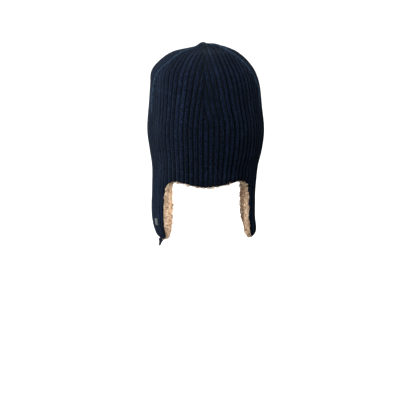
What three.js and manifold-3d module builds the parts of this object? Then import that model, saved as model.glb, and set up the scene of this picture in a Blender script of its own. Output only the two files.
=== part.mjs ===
// Knit trapper hat, seen worn: a ribbed knit crown with four darts runs down into two ear flaps,
// a thick pile lining follows it inside, and a plain label and a chin strap sit on the left flap.
// Millimetres, +Z up. The origin is where the top of a head touches the lining.
// The wearer looks along +Y, so +X is the wearer's right and the back of the hat faces -Y.
import * as THREE from "three";
import Module from "manifold-3d";

// Walls
const KNIT_WALL = 3.2;
const PILE_WALL = 6.5;
const PIECE_GAP = 0.3;
const LINING_SHOWS = 1.5;

// Ribs and darts
const RIB_DEPTH = 1.3;
const RIB_FADE = 24;
const DART_HALF_WIDTH = 7;
const DART_START = -93;
const DART_RISE = 30;

// Fullness of the sections between their four outermost points, and the height of the widest one
const SQUARENESS = 0.035;
const WIDEST_Z = -118;

// Hem heights, and the round corners where the hem turns down into the flaps
const BACK_HEM_MIDDLE = -195;
const BACK_HEM_SIDES = -188;
const FOREHEAD_MIDDLE = -99;
const FOREHEAD_SIDES = -105;
const FOREHEAD_CORNER = { across: 30, down: 34 };
const HEM_EASE = 0.25;
const HEM_POINTS = 9;

// Flap outline: how much the rear edge slants in, how much lower the front of the bottom edge is than
// its rear corner, and the round corners at both ends of it
const FLAP_SLANT = 3;
const FLAP_TILT = 7;
const FLAP_REAR_CORNER = { across: 17, up: 14 };
const FLAP_FRONT_CORNER = { across: 42, up: 42 };
const FLAP_FULLNESS = 0.6;

// Label on the left flap
const LABEL_WIDTH = 11;
const LABEL_HEIGHT = 10;
const LABEL_THICKNESS = 0.8;
const LABEL_TURN = -65;
const LABEL_MIDDLE_Z = -251;
const LABEL_STEPS = 4;

// Chin strap under the bottom edge of the left flap
const STRAP_TURN = -75;
const STRAP_WIDTH = 20;
const STRAP_THICKNESS = 2.4;
const STRAP_LENGTH = 16;
const STRAP_TWIST = 8;
const STRAP_ROWS = 4;
const STRAP_COLUMNS = 4;
const STRAP_END_ROWS = 5;
const STRAP_GAP = 0.45;

// Grid of the two cups, and the band that cuts their hems
const RIB_COLUMNS = 2;
const OUTER_ROWS = 21;
const WALL_ROWS = 12;
const ROW_EASE = 1.3;
const WELD = 1e-4;
const SHORT_EDGE = 0.05;
const CUT_OUTSIDE = 12;
const CUT_INSIDE = 45;
const CUT_FLOOR = -330;

// Horizontal sections of the knit's outside, from the top down. left and right are the half-widths,
// back and front the reach behind and before the nub, and wide is where the section is widest.
const SECTIONS = [
  { z: 10, left: 0, right: 0, back: 0, front: 0, wide: 0 },
  { z: 8.6, left: 8, right: 16, back: 9, front: 22, wide: 6 },
  { z: 5.6, left: 16, right: 27, back: 17, front: 38, wide: 10 },
  { z: 2, left: 30, right: 37.5, back: 27, front: 53, wide: 14 },
  { z: -2.7, left: 50, right: 47.5, back: 39, front: 67, wide: 18 },
  { z: -14.7, left: 68, right: 61.8, back: 54, front: 86, wide: 21 },
  { z: -31.2, left: 81.5, right: 73.6, back: 68, front: 102, wide: 20 },
  { z: -52.2, left: 83.5, right: 80.7, back: 79, front: 111, wide: 17 },
  { z: -82.2, left: 85.2, right: 84.2, back: 88, front: 115, wide: 14 },
  { z: -119.2, left: 87.6, right: 87.6, back: 92, front: 113, wide: 11 },
  { z: -149.2, left: 83.7, right: 84.2, back: 91, front: 109, wide: 8 },
  { z: -172.2, left: 80.4, right: 78.4, back: 88, front: 104, wide: 4 },
  { z: -206.2, left: 80.8, right: 75, back: 88, front: 99, wide: 0 },
  { z: -246.2, left: 81.2, right: 74.5, back: 90, front: 97, wide: 0 },
  { z: -269.2, left: 76.2, right: 76, back: 88, front: 95, wide: 0 },
  { z: -291.2, left: 64, right: 66, back: 84, front: 91, wide: 0 },
];

// Darts, by height: the turn in degrees from the middle of the back, and how many ribs the dart has
// swallowed by then on either side. lift is how far its seam stands up, or sinks in where it is below 0.
const BACK_DART = {
  lift: -0.9,
  rows: [
    { z: -291, turn: -2, before: 0, after: 0 },
    { z: -102, turn: -2, before: 0, after: 0 },
    { z: -76, turn: -2, before: 0.35, after: 1 },
    { z: -49, turn: -2, before: 1, after: 1.55 },
    { z: -29, turn: -2, before: 1.55, after: 2 },
    { z: -13, turn: -2, before: 2, after: 2.6 },
    { z: -3, turn: -2, before: 2.6, after: 3.1 },
    { z: 9, turn: -2, before: 3.7, after: 3.9 },
  ],
};
const LEFT_DART = {
  lift: 1.2,
  rows: [
    { z: -291, turn: -67, before: 0, after: 0 },
    { z: -75, turn: -67, before: 0, after: 0 },
    { z: -49, turn: -65, before: 0, after: 0.5 },
    { z: -31, turn: -58, before: 0, after: 2.2 },
    { z: -15, turn: -49, before: 0, after: 4.2 },
    { z: -3, turn: -46, before: 2.2, after: 5.2 },
    { z: 2, turn: -51, before: 5, after: 5.5 },
    { z: 9, turn: -64, before: 9.5, after: 5.7 },
  ],
};
const RIGHT_DART = {
  lift: 1.2,
  rows: [
    { z: -291, turn: 70, before: 0, after: 0 },
    { z: -55, turn: 70, before: 0, after: 0 },
    { z: -38, turn: 66, before: 1, after: 0 },
    { z: -25, turn: 61, before: 2, after: 0 },
    { z: -12, turn: 57, before: 3, after: 0.4 },
    { z: 0, turn: 51, before: 5.2, after: 3.8 },
    { z: 9, turn: 62, before: 6.1, after: 8.8 },
  ],
};
const FRONT_DART = {
  lift: -0.9,
  rows: [
    { z: -291, turn: 179, before: 0, after: 0 },
    { z: -102, turn: 179, before: 0, after: 0 },
    { z: -75, turn: 179, before: 0.8, after: 0.8 },
    { z: -13, turn: 179, before: 2.2, after: 2.2 },
    { z: 2, turn: 179, before: 3.5, after: 3.5 },
    { z: 9, turn: 179, before: 6, after: 6 },
  ],
};

// Panels between the darts, round the hat from the middle of the forehead.
const PANELS = [
  { from: FRONT_DART, to: LEFT_DART, ribs: 24, lap: 1 },
  { from: LEFT_DART, to: BACK_DART, ribs: 14, lap: 0 },
  { from: BACK_DART, to: RIGHT_DART, ribs: 15, lap: 0 },
  { from: RIGHT_DART, to: FRONT_DART, ribs: 23, lap: 0 },
];

// Gathers on top of the crown: the nub where the darts meet, and the fullness beside it.
const GATHERS = [
  { x: -4.9, y: 4, height: 3.8, radius: 5.5 },
  { x: 12, y: 22, height: 1.8, radius: 17 },
];

// Ear flaps. rear and front are the turns of their edges, and tip is the height of their lowest point.
// across and down size the corner where the back hem turns into the rear edge, and flare is how much
// further forward the front edge is at its bottom than at its top.
const FLAPS = [
  { rear: -50.4, front: -134, tip: -284.2, across: 31, down: 27, flare: 5 },
  { rear: 62.6, front: 127.5, tip: -281.7, across: 37, down: 36, flare: -3 },
];

const wasm = await Module();
wasm.setup();

const UP = new THREE.Vector3(0, 0, 1);
const radians = THREE.MathUtils.degToRad;
const mix = THREE.MathUtils.lerp;
const limit = THREE.MathUtils.clamp;
const smooth = THREE.MathUtils.smoothstep;

// A smooth curve through the rows of the section table, run by the distance down the wall.
function sectionCurve(rows) {
  const columns = Object.keys(rows[0]);
  const reach = (row) => (row.left + row.right) / 2;
  const crown = Object.fromEntries(columns.map((name) => [name, -rows[1][name]]));
  crown.z = rows[1].z;
  const last = rows[rows.length - 1];
  const beforeLast = rows[rows.length - 2];
  const below = Object.fromEntries(columns.map((name) => [name, 2 * last[name] - beforeLast[name]]));
  const knots = [crown, ...rows, below];
  const downs = [0];
  for (let i = 1; i < knots.length; i += 1) {
    const step = Math.hypot(reach(knots[i]) - reach(knots[i - 1]), knots[i].z - knots[i - 1].z);
    downs.push(downs[i - 1] + step);
  }
  const start = downs[1];
  const length = downs[downs.length - 2] - start;
  const slope = (name, i) => (knots[i + 1][name] - knots[i - 1][name]) / (downs[i + 1] - downs[i - 1]);
  const at = (down) => {
    const along = limit(down, 0, length) + start;
    let i = 1;
    while (i < rows.length - 1 && downs[i + 1] < along) i += 1;
    const span = downs[i + 1] - downs[i];
    const t = (along - downs[i]) / span;
    const section = {};
    for (const name of columns) {
      const a = knots[i][name];
      const b = knots[i + 1][name];
      const curve = 2 * t ** 3 - 3 * t ** 2 + 1;
      const leave = (t ** 3 - 2 * t ** 2 + t) * span * slope(name, i);
      const arrive = (t ** 3 - t ** 2) * span * slope(name, i + 1);
      section[name] = curve * a + (1 - curve) * b + leave + arrive;
    }
    return section;
  };
  return { at, length };
}

const wall = sectionCurve(SECTIONS);

// The distance down the wall at a height.
function downAt(z) {
  let high = 0;
  let low = wall.length;
  for (let i = 0; i < 40; i += 1) {
    const middle = (high + low) / 2;
    if (wall.at(middle).z > z) high = middle;
    else low = middle;
  }
  return (high + low) / 2;
}

// A value from a table with a z column, eased between its rows.
function fromTable(rows, name, z) {
  let i = 0;
  while (i < rows.length - 2 && rows[i + 1].z < z) i += 1;
  const part = limit((z - rows[i].z) / (rows[i + 1].z - rows[i].z), 0, 1);
  return mix(rows[i][name], rows[i + 1][name], part);
}

// The knit's smooth outside, without ribs. turn is in radians from the middle of the back.
function skinPoint(down, turn) {
  const s = wall.at(down);
  const sine = Math.sin(turn);
  const cosine = Math.cos(turn);
  const full = 1 + SQUARENESS * Math.sin(2 * turn) ** 2;
  const side = sine > 0 ? s.right : s.left;
  const depth = cosine > 0 ? s.back + s.wide : s.front - s.wide;
  return new THREE.Vector3(side * sine * full, s.wide - depth * cosine * full, s.z);
}

function skinNormal(down, turn) {
  if (down < 0.5) return new THREE.Vector3(0, 0, 1);
  const alongTurn = skinPoint(down, turn + 0.01).sub(skinPoint(down, turn - 0.01));
  const alongDown = skinPoint(down + 0.5, turn).sub(skinPoint(down - 0.5, turn));
  return alongDown.cross(alongTurn).normalize();
}

// Equal steps round the widest section, so that the ribs are equally wide there.
const girth = (() => {
  const steps = 720;
  const widest = downAt(WIDEST_Z);
  const lengths = [0];
  for (let i = 1; i <= steps; i += 1) {
    const from = skinPoint(widest, radians(-180 + ((i - 1) * 360) / steps));
    const to = skinPoint(widest, radians(-180 + (i * 360) / steps));
    lengths.push(lengths[i - 1] + from.distanceTo(to));
  }
  const total = lengths[steps];
  const lengthAt = (degrees) => {
    const laps = Math.floor((degrees + 180) / 360);
    const place = ((degrees + 180) / 360 - laps) * steps;
    const i = Math.min(Math.floor(place), steps - 1);
    return laps * total + mix(lengths[i], lengths[i + 1], place - i);
  };
  const turnAt = (length) => {
    const laps = Math.floor(length / total);
    const rest = length - laps * total;
    let i = 0;
    while (i < steps - 1 && lengths[i + 1] < rest) i += 1;
    const part = (rest - lengths[i]) / (lengths[i + 1] - lengths[i]);
    return -180 + laps * 360 + ((i + part) * 360) / steps;
  };
  return { lengthAt, turnAt, total };
})();

const RIB_WIDTH = girth.total / PANELS.reduce((sum, panel) => sum + panel.ribs, 0);

// Columns of the grid: one in each furrow, and one on each rib. rib counts them across their panel.
const columns = PANELS.flatMap((panel) =>
  Array.from({ length: panel.ribs * RIB_COLUMNS }, (_, i) => ({
    panel,
    rib: i / RIB_COLUMNS,
    onRib: i % RIB_COLUMNS === 1,
  })),
);

// Where a column is at a height: its turn, in radians, its distance to the nearer dart, and that dart.
function columnAt({ panel, rib }, z) {
  const start = girth.lengthAt(fromTable(panel.from.rows, "turn", z) - 360 * panel.lap);
  const end = girth.lengthAt(fromTable(panel.to.rows, "turn", z));
  const first = fromTable(panel.from.rows, "after", z);
  const last = panel.ribs - fromTable(panel.to.rows, "before", z);
  const across = limit((rib - first) / (last - first), 0, 1);
  const toDart = Math.min(across, 1 - across) * (end - start);
  const dart = across < 0.5 ? panel.from : panel.to;
  return { turn: radians(girth.turnAt(mix(start, end, across))), toDart, dart };
}

// Ribs, darts and gathers, as a height above the smooth outside. A rib sinks where a dart swallows it,
// and all ribs flatten where they crowd together on top.
function relief(column, place, point) {
  const sunk = column.onRib ? 1 - limit((2 * place.toDart) / RIB_WIDTH, 0, 1) : 1;
  const darted = smooth(point.z, DART_START, DART_START + DART_RISE);
  const seam = place.dart.lift * darted * Math.exp(-((place.toDart / DART_HALF_WIDTH) ** 2));
  const gathered = GATHERS.reduce((sum, { x, y, height, radius }) => {
    const away = Math.hypot(point.x - x, point.y - y) / radius;
    return sum + height * Math.exp(-(away ** 2));
  }, 0);
  const depth = RIB_DEPTH * smooth(Math.hypot(point.x, point.y), 0, RIB_FADE);
  return gathered - depth * sunk + seam;
}

// One side's hem outline, from the middle of the back to the middle of the forehead: x is the
// distance round the widest section, y the height.
function hemPath(flap) {
  const rear = Math.abs(girth.lengthAt(flap.rear) - girth.lengthAt(0));
  const front = Math.abs(girth.lengthAt(flap.front) - girth.lengthAt(0));
  const half = girth.total / 2;
  const { tip } = flap;
  const corner = tip + FLAP_TILT;
  const edge = rear + FLAP_SLANT;
  const low = front - FLAP_FRONT_CORNER.across;
  const turned = FLAP_REAR_CORNER.across / (low - edge);
  const path = new THREE.Path();
  path.moveTo(0, BACK_HEM_MIDDLE);
  path.bezierCurveTo(rear * HEM_EASE, BACK_HEM_MIDDLE, rear * 2 * HEM_EASE, BACK_HEM_SIDES,
    rear - flap.across, BACK_HEM_SIDES);
  path.quadraticCurveTo(rear, BACK_HEM_SIDES, rear, BACK_HEM_SIDES - flap.down);
  path.lineTo(edge, corner + FLAP_REAR_CORNER.up);
  path.quadraticCurveTo(edge, corner, mix(edge, low, turned), mix(corner, tip, turned));
  path.quadraticCurveTo(mix(edge, low, FLAP_FULLNESS), tip, low, tip);
  path.bezierCurveTo(mix(low, front, FLAP_FULLNESS), tip,
    front + flap.flare, tip + FLAP_FRONT_CORNER.up * (1 - FLAP_FULLNESS),
    front + flap.flare / 2, tip + FLAP_FRONT_CORNER.up);
  path.lineTo(front, FOREHEAD_SIDES - FOREHEAD_CORNER.down);
  path.quadraticCurveTo(front, FOREHEAD_SIDES, front + FOREHEAD_CORNER.across, FOREHEAD_SIDES);
  path.bezierCurveTo(mix(front + FOREHEAD_CORNER.across, half, HEM_EASE), FOREHEAD_SIDES,
    mix(half, front, HEM_EASE), FOREHEAD_MIDDLE, half, FOREHEAD_MIDDLE);
  return path;
}

// The outline's points, moved out by extra so that the lining shows below and beside the knit.
function hemOutline(flap, extra) {
  const points = hemPath(flap).getPoints(HEM_POINTS);
  return points.map((point, i) => {
    const before = points[Math.max(i - 1, 0)];
    const after = points[Math.min(i + 1, points.length - 1)];
    const along = after.clone().sub(before).normalize();
    return new THREE.Vector2(point.x + along.y * extra, point.y - along.x * extra);
  });
}

// All round the hat: the left flap's side runs backwards, the right flap's side forwards.
function hemRing(extra) {
  const [left, right] = FLAPS.map((flap) => hemOutline(flap, extra));
  const leftSide = left.map((point) => new THREE.Vector2(-point.x, point.y)).reverse();
  return [...leftSide.slice(1), ...right.slice(1)];
}

// A point of the grid, at a depth under the knit's outside.
function gridPoint(column, down, depth, ribbed) {
  const place = columnAt(column, wall.at(down).z);
  const point = skinPoint(down, place.turn);
  const height = (ribbed ? relief(column, place, point) : 0) - depth;
  return point.addScaledVector(skinNormal(down, place.turn), height);
}

// One skin of a cup, as rings of points below its top point.
function skinRows({ depth, ribbed, every, rows }) {
  const used = columns.filter((_, i) => i % every === 0);
  return Array.from({ length: rows }, (_, row) =>
    used.map((column) =>
      gridPoint(column, wall.length * ((row + 1) / rows) ** ROW_EASE, depth, ribbed),
    ),
  );
}

// Triangles collected with their corners welded, so that columns that meet in a dart vanish.
class Surface {
  constructor() {
    this.points = [];
    this.corners = [];
    this.seen = new Map();
  }

  corner(point) {
    const key = [point.x, point.y, point.z].map((value) => Math.round(value / WELD)).join(" ");
    if (!this.seen.has(key)) {
      this.seen.set(key, this.points.length / 3);
      this.points.push(point.x, point.y, point.z);
    }
    return this.seen.get(key);
  }

  triangle(a, b, c) {
    const [i, j, k] = [this.corner(a), this.corner(b), this.corner(c)];
    if (i !== j && j !== k && k !== i) this.corners.push(i, j, k);
  }

  quad(a, b, c, d) {
    this.triangle(a, b, c);
    this.triangle(a, c, d);
  }

  geometry() {
    const geometry = new THREE.BufferGeometry();
    geometry.setAttribute("position", new THREE.Float32BufferAttribute(this.points, 3));
    geometry.setIndex(this.corners);
    geometry.computeVertexNormals();
    return geometry;
  }
}

// A skin of the cup, facing out or in.
function addSkin(surface, top, rows, facesOut) {
  const count = rows[0].length;
  for (let i = 0; i < count; i += 1) {
    const next = (i + 1) % count;
    if (facesOut) surface.triangle(top, rows[0][i], rows[0][next]);
    else surface.triangle(top, rows[0][next], rows[0][i]);
    for (let row = 0; row < rows.length - 1; row += 1) {
      const [a, b] = [rows[row][i], rows[row][next]];
      const [c, d] = [rows[row + 1][next], rows[row + 1][i]];
      if (facesOut) surface.quad(a, d, c, b);
      else surface.quad(a, b, c, d);
    }
  }
}

// The hem's narrow face, from the outer ring to an inner ring that may have half as many corners.
function addHem(surface, outer, inner) {
  const ratio = outer.length / inner.length;
  for (let i = 0; i < inner.length; i += 1) {
    const near = inner[i];
    const far = inner[(i + 1) % inner.length];
    const first = outer[i * ratio];
    const last = outer[((i + 1) * ratio) % outer.length];
    if (ratio === 1) {
      surface.quad(first, near, far, last);
    } else {
      const middle = outer[i * ratio + 1];
      surface.triangle(first, near, middle);
      surface.triangle(near, far, middle);
      surface.triangle(middle, far, last);
    }
  }
}

// Two skins joined at their lowest rings: a closed cup, before its hem is cut.
function cup(outer, inner) {
  const surface = new Surface();
  const top = (skin) => gridPoint(columns[0], 0, skin.depth, skin.ribbed);
  const outerRows = skinRows(outer);
  const innerRows = skinRows(inner);
  addSkin(surface, top(outer), outerRows, true);
  addSkin(surface, top(inner), innerRows, false);
  addHem(surface, outerRows[outerRows.length - 1], innerRows[innerRows.length - 1]);
  return surface;
}

// All that lies below the hem: a band round the hat whose top follows the hem outline.
function belowHem(extra) {
  const surface = new Surface();
  const rings = hemRing(extra).map((point) => {
    const turn = radians(girth.turnAt(girth.lengthAt(0) + point.x));
    const down = downAt(point.y);
    const onSkin = skinPoint(down, turn);
    const out = skinNormal(down, turn).setZ(0).normalize();
    const high = onSkin.clone().addScaledVector(out, CUT_OUTSIDE);
    const low = onSkin.clone().addScaledVector(out, -CUT_INSIDE);
    return [high, low, low.clone().setZ(CUT_FLOOR), high.clone().setZ(CUT_FLOOR)];
  });
  rings.forEach((ring, i) => {
    const next = rings[(i + 1) % rings.length];
    ring.forEach((corner, k) => {
      const after = (k + 1) % ring.length;
      surface.quad(corner, next[k], next[after], ring[after]);
    });
  });
  return surface;
}

function solid(surface) {
  const vertProperties = new Float32Array(surface.points);
  const triVerts = new Uint32Array(surface.corners);
  return new wasm.Manifold(new wasm.Mesh({ numProp: 3, vertProperties, triVerts }));
}

// The cut leaves a few very short edges: both of their ends become one corner.
function withoutShortEdges(mesh) {
  const surface = new Surface();
  const place = Array.from({ length: mesh.numVert }, (_, i) =>
    new THREE.Vector3().fromArray(mesh.vertProperties, i * mesh.numProp),
  );
  for (let round = 0; round < 3; round += 1) {
    mesh.triVerts.forEach((a, i) => {
      const b = mesh.triVerts[i % 3 === 2 ? i - 2 : i + 1];
      if (place[a].distanceTo(place[b]) < SHORT_EDGE) place[b] = place[a];
    });
  }
  for (let i = 0; i < mesh.triVerts.length; i += 3) {
    const [a, b, c] = mesh.triVerts.subarray(i, i + 3);
    surface.triangle(place[a], place[b], place[c]);
  }
  return surface.geometry();
}

function cutAtHem(surface, extra) {
  return withoutShortEdges(solid(surface).subtract(solid(belowHem(extra))).getMesh());
}

function knitGeometry() {
  const outer = { depth: 0, ribbed: true, every: 1, rows: OUTER_ROWS };
  const inner = { depth: KNIT_WALL, ribbed: false, every: RIB_COLUMNS, rows: WALL_ROWS };
  return cutAtHem(cup(outer, inner), 0);
}

function liningGeometry() {
  const shared = { ribbed: false, every: RIB_COLUMNS, rows: WALL_ROWS };
  const outer = { depth: KNIT_WALL + PIECE_GAP, ...shared };
  const inner = { depth: KNIT_WALL + PIECE_GAP + PILE_WALL, ...shared };
  return cutAtHem(cup(outer, inner), LINING_SHOWS);
}

// A plain cloth label that follows the flap's curve, on top of the ribs.
function labelGeometry() {
  const surface = new Surface();
  const middle = girth.lengthAt(LABEL_TURN);
  const row = (z, height) =>
    Array.from({ length: LABEL_STEPS + 1 }, (_, i) => {
      const turn = radians(girth.turnAt(middle + LABEL_WIDTH * (i / LABEL_STEPS - 0.5)));
      const down = downAt(z);
      return skinPoint(down, turn).addScaledVector(skinNormal(down, turn), height);
    });
  const high = LABEL_MIDDLE_Z + LABEL_HEIGHT / 2;
  const low = LABEL_MIDDLE_Z - LABEL_HEIGHT / 2;
  const face = PIECE_GAP + LABEL_THICKNESS;
  const rings = [
    row(high, PIECE_GAP),
    row(high, face),
    row(low, face),
    row(low, PIECE_GAP),
  ];
  for (let i = 0; i < LABEL_STEPS; i += 1) {
    rings.forEach((ring, k) => {
      const next = rings[(k + 1) % rings.length];
      surface.quad(ring[i], next[i], next[i + 1], ring[i + 1]);
    });
  }
  const [a, b, c, d] = rings.map((ring) => ring[0]);
  const [e, f, g, h] = rings.map((ring) => ring[LABEL_STEPS]);
  surface.quad(a, d, c, b);
  surface.quad(e, f, g, h);
  return surface.geometry();
}

// A flat strap that hangs from the left flap's bottom edge, turning a little on its way down to a
// round free end. Its top follows the bottom edge's own curve.
function strapGeometry(flap) {
  const surface = new Surface();
  const outline = hemOutline(flap, 0);
  const fromBack = Math.abs(girth.lengthAt(STRAP_TURN) - girth.lengthAt(0));
  const corner = outline.findIndex((point) => point.y < flap.tip + FLAP_TILT);
  const hemAt = (across) => {
    const place = fromBack - across;
    const i = outline.findIndex((point, k) => k > corner && point.x > place);
    const part = (place - outline[i - 1].x) / (outline[i].x - outline[i - 1].x);
    return mix(outline[i - 1].y, outline[i].y, part);
  };
  const top = hemAt(0) - STRAP_GAP;
  const down = downAt(top);
  const out = skinNormal(down, radians(STRAP_TURN)).setZ(0).normalize();
  const seat = skinPoint(down, radians(STRAP_TURN)).addScaledVector(out, -KNIT_WALL / 2);
  const half = STRAP_WIDTH / 2;
  const straight = STRAP_LENGTH - half;
  const heights = [];
  for (let i = 0; i <= STRAP_ROWS; i += 1) heights.push((straight * i) / STRAP_ROWS);
  for (let i = 1; i < STRAP_END_ROWS; i += 1) {
    heights.push(straight + half * Math.sin((i / STRAP_END_ROWS) * (Math.PI / 2)));
  }
  const rings = heights.map((height) => {
    const width = height > straight ? Math.sqrt(half ** 2 - (height - straight) ** 2) : half;
    const turn = radians(STRAP_TWIST) * smooth(height, 0, STRAP_LENGTH);
    const face = out.clone().applyAxisAngle(UP, turn);
    const side = new THREE.Vector3(-face.y, face.x, 0);
    const corner = (across, through) => {
      const hem = hemAt(across * width) - STRAP_GAP;
      const z = mix(hem, top - height, Math.min(height / half, 1));
      return seat.clone().setZ(z)
        .addScaledVector(side, across * width)
        .addScaledVector(face, (through * STRAP_THICKNESS) / 2);
    };
    const across = Array.from({ length: STRAP_COLUMNS + 1 }, (_, i) => (2 * i) / STRAP_COLUMNS - 1);
    return [...across.map((x) => corner(x, 1)), ...across.reverse().map((x) => corner(x, -1))];
  });
  rings.slice(1).forEach((ring, i) => {
    ring.forEach((point, k) => {
      const next = (k + 1) % ring.length;
      surface.quad(rings[i][k], point, ring[next], rings[i][next]);
    });
  });
  const cap = (ring, facesUp) => {
    for (let k = 0; k < STRAP_COLUMNS; k += 1) {
      const opposite = ring.length - 1 - k;
      const corners = [ring[k], ring[k + 1], ring[opposite - 1], ring[opposite]];
      surface.quad(...(facesUp ? corners : corners.reverse()));
    }
  };
  cap(rings[0], true);
  cap(rings[rings.length - 1], false);
  return surface.geometry();
}

function cloth(color, roughness) {
  return new THREE.MeshStandardMaterial({ color, roughness, metalness: 0 });
}

function piece(name, geometry, material) {
  const mesh = new THREE.Mesh(geometry, material);
  mesh.name = name;
  return mesh;
}

const hat = new THREE.Group();
hat.add(piece("knit_shell", knitGeometry(), cloth(0x172134, 0.92)));
hat.add(piece("boa_lining", liningGeometry(), cloth(0xc9a179, 0.98)));
hat.add(piece("label_tab", labelGeometry(), cloth(0xb9bec4, 0.85)));
hat.add(piece("chin_strap", strapGeometry(FLAPS[0]), cloth(0x141a28, 0.9)));

export default hat;
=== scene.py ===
# %% [markdown]
# This is a rib-knit cap with two ear flaps, worn with the flaps down over a thick curly lining.
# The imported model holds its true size: +Z is up, the wearer looks along +Y, and the origin is where
# the top of the head touches the lining. Its solids stay plain, so the fine cloth is made here,
# round the same pattern, and stands in for them.

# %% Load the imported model
import math

import bpy
import numpy as np
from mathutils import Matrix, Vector, noise


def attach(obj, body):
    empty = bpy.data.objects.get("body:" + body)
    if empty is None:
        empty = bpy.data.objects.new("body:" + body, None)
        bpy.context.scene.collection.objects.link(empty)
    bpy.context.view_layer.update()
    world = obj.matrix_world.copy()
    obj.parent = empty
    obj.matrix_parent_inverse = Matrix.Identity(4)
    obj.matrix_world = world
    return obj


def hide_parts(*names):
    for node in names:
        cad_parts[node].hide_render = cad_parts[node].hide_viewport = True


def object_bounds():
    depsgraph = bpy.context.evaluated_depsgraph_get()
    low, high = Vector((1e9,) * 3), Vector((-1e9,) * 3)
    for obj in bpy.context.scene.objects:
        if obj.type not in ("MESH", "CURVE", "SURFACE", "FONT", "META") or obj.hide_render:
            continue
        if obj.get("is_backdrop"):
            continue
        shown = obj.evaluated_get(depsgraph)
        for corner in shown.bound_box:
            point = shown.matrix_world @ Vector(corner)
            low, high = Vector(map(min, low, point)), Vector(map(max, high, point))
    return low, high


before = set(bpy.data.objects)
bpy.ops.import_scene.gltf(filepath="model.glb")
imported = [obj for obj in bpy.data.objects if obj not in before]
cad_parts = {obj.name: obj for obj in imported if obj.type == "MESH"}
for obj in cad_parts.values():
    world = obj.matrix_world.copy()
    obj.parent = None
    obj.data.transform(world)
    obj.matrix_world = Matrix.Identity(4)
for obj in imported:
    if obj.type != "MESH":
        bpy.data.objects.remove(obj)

MM = 0.001
cad_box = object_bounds()
print("nodes", sorted(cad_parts), "size in mm", [round(x / MM, 1) for x in cad_box[1] - cad_box[0]])

# %% [markdown]
# The hat is seen from behind and a little from above, through a long lens that hardly narrows what
# is further away. A camera that stands 3.5 m off and sees 624 mm across at the hat gives the same
# outline. The lens follows from those two lengths. The distance and the angle are estimates.

# %% Camera
CAMERA_AIM = Vector((0.0034, 0.0, -0.2362))
CAMERA_DISTANCE = 3.5
CAMERA_ELEVATION = math.radians(7.5)
SEEN_WIDTH = 0.624
SENSOR_WIDTH = 36.0

camera_data = bpy.data.cameras.new("camera")
camera_data.sensor_width = SENSOR_WIDTH
camera_data.lens = SENSOR_WIDTH * CAMERA_DISTANCE / SEEN_WIDTH
camera = bpy.data.objects.new("camera", camera_data)
towards_camera = Vector((0, -math.cos(CAMERA_ELEVATION), math.sin(CAMERA_ELEVATION)))
camera.location = CAMERA_AIM + CAMERA_DISTANCE * towards_camera
camera.rotation_euler = (-towards_camera).to_track_quat("-Z", "Y").to_euler()
bpy.context.scene.collection.objects.link(camera)
bpy.context.scene.camera = camera
print("lens in mm", round(camera_data.lens, 1))

# %% [markdown]
# Materials and the set are built from nodes. These helpers make a node, set or link its sockets, and
# hand back its result, so that each effect below reads as one line of arithmetic.

# %% Node helpers


def new_group(name, inputs, outputs):
    """A shader node group with these sockets, and its input and output nodes."""
    group = bpy.data.node_groups.new(name, "ShaderNodeTree")
    for label, kind, value in inputs:
        socket = group.interface.new_socket(label, in_out="INPUT", socket_type=kind)
        if value is not None:
            socket.default_value = value
    for label, kind in outputs:
        group.interface.new_socket(label, in_out="OUTPUT", socket_type=kind)
    return group, group.nodes.new("NodeGroupInput"), group.nodes.new("NodeGroupOutput")


def put(socket, value):
    """Links a socket to another, or sets its number."""
    if isinstance(value, bpy.types.NodeSocket):
        socket.id_data.links.new(value, socket)
    else:
        socket.default_value = value


def put_all(node, **values):
    """Sets or links a node's inputs by their labels, with _ for each space."""
    for label, value in values.items():
        put(node.inputs[label.replace("_", " ")], value)


def maths(tree, operation, *values):
    """A Math node's result."""
    node = tree.nodes.new("ShaderNodeMath")
    node.operation = operation
    for socket, value in zip(node.inputs, values):
        put(socket, value)
    return node.outputs[0]


def noise_of(tree, vector, scale, detail):
    """A Noise Texture's value, from 0 to 1."""
    node = tree.nodes.new("ShaderNodeTexNoise")
    put(node.inputs["Vector"], vector)
    put(node.inputs["Scale"], scale)
    node.inputs["Detail"].default_value = detail
    return node.outputs["Fac"]


def mixed(tree, share, first, second):
    """One colour mixed into another."""
    node = tree.nodes.new("ShaderNodeMix")
    node.data_type = "RGBA"
    put(node.inputs["Factor"], share)
    put(node.inputs["A"], first)
    put(node.inputs["B"], second)
    return node.outputs["Result"]


def own_place(tree):
    """Places on the object, in its own metres."""
    return tree.nodes.new("ShaderNodeTexCoord").outputs["Object"]


# %% [markdown]
# The set is a white sweep. Yarn this dark shows its furrows only in uneven light, so the light from
# all round is strongest from the upper left, though the surroundings look evenly white. One large
# soft light far to the left picks out the rims. Another, above and to the left of the camera, opens
# up the back while the cap shades its own lining. A small glow from between the flaps warms the
# left lining. The floor lies far below the hat. It shows only from above and lights nothing.

# %% Floor and lights
FLOOR_Z = -0.5
FLOOR_SIZE = 60.0
FLOOR_WHITE = (0.95, 0.95, 0.95)


def plain_material(name, colour, roughness):
    """A material with one Principled shader, and that shader."""
    material = bpy.data.materials.new(name)
    material.use_nodes = True
    shader = material.node_tree.nodes["Principled BSDF"]
    shader.inputs["Base Color"].default_value = (*colour, 1)
    shader.inputs["Roughness"].default_value = roughness
    return material, shader


def softbox(name, place, aim, size, watts, colour):
    """A square area light that points at its aim and is never seen itself."""
    data = bpy.data.lights.new(name, "AREA")
    data.size = size
    data.energy = watts
    data.color = colour
    light = bpy.data.objects.new(name, data)
    light.location = place
    light.visible_camera = False
    light.rotation_euler = (Vector(aim) - Vector(place)).to_track_quat("-Z", "Y").to_euler()
    bpy.context.scene.collection.objects.link(light)


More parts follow.
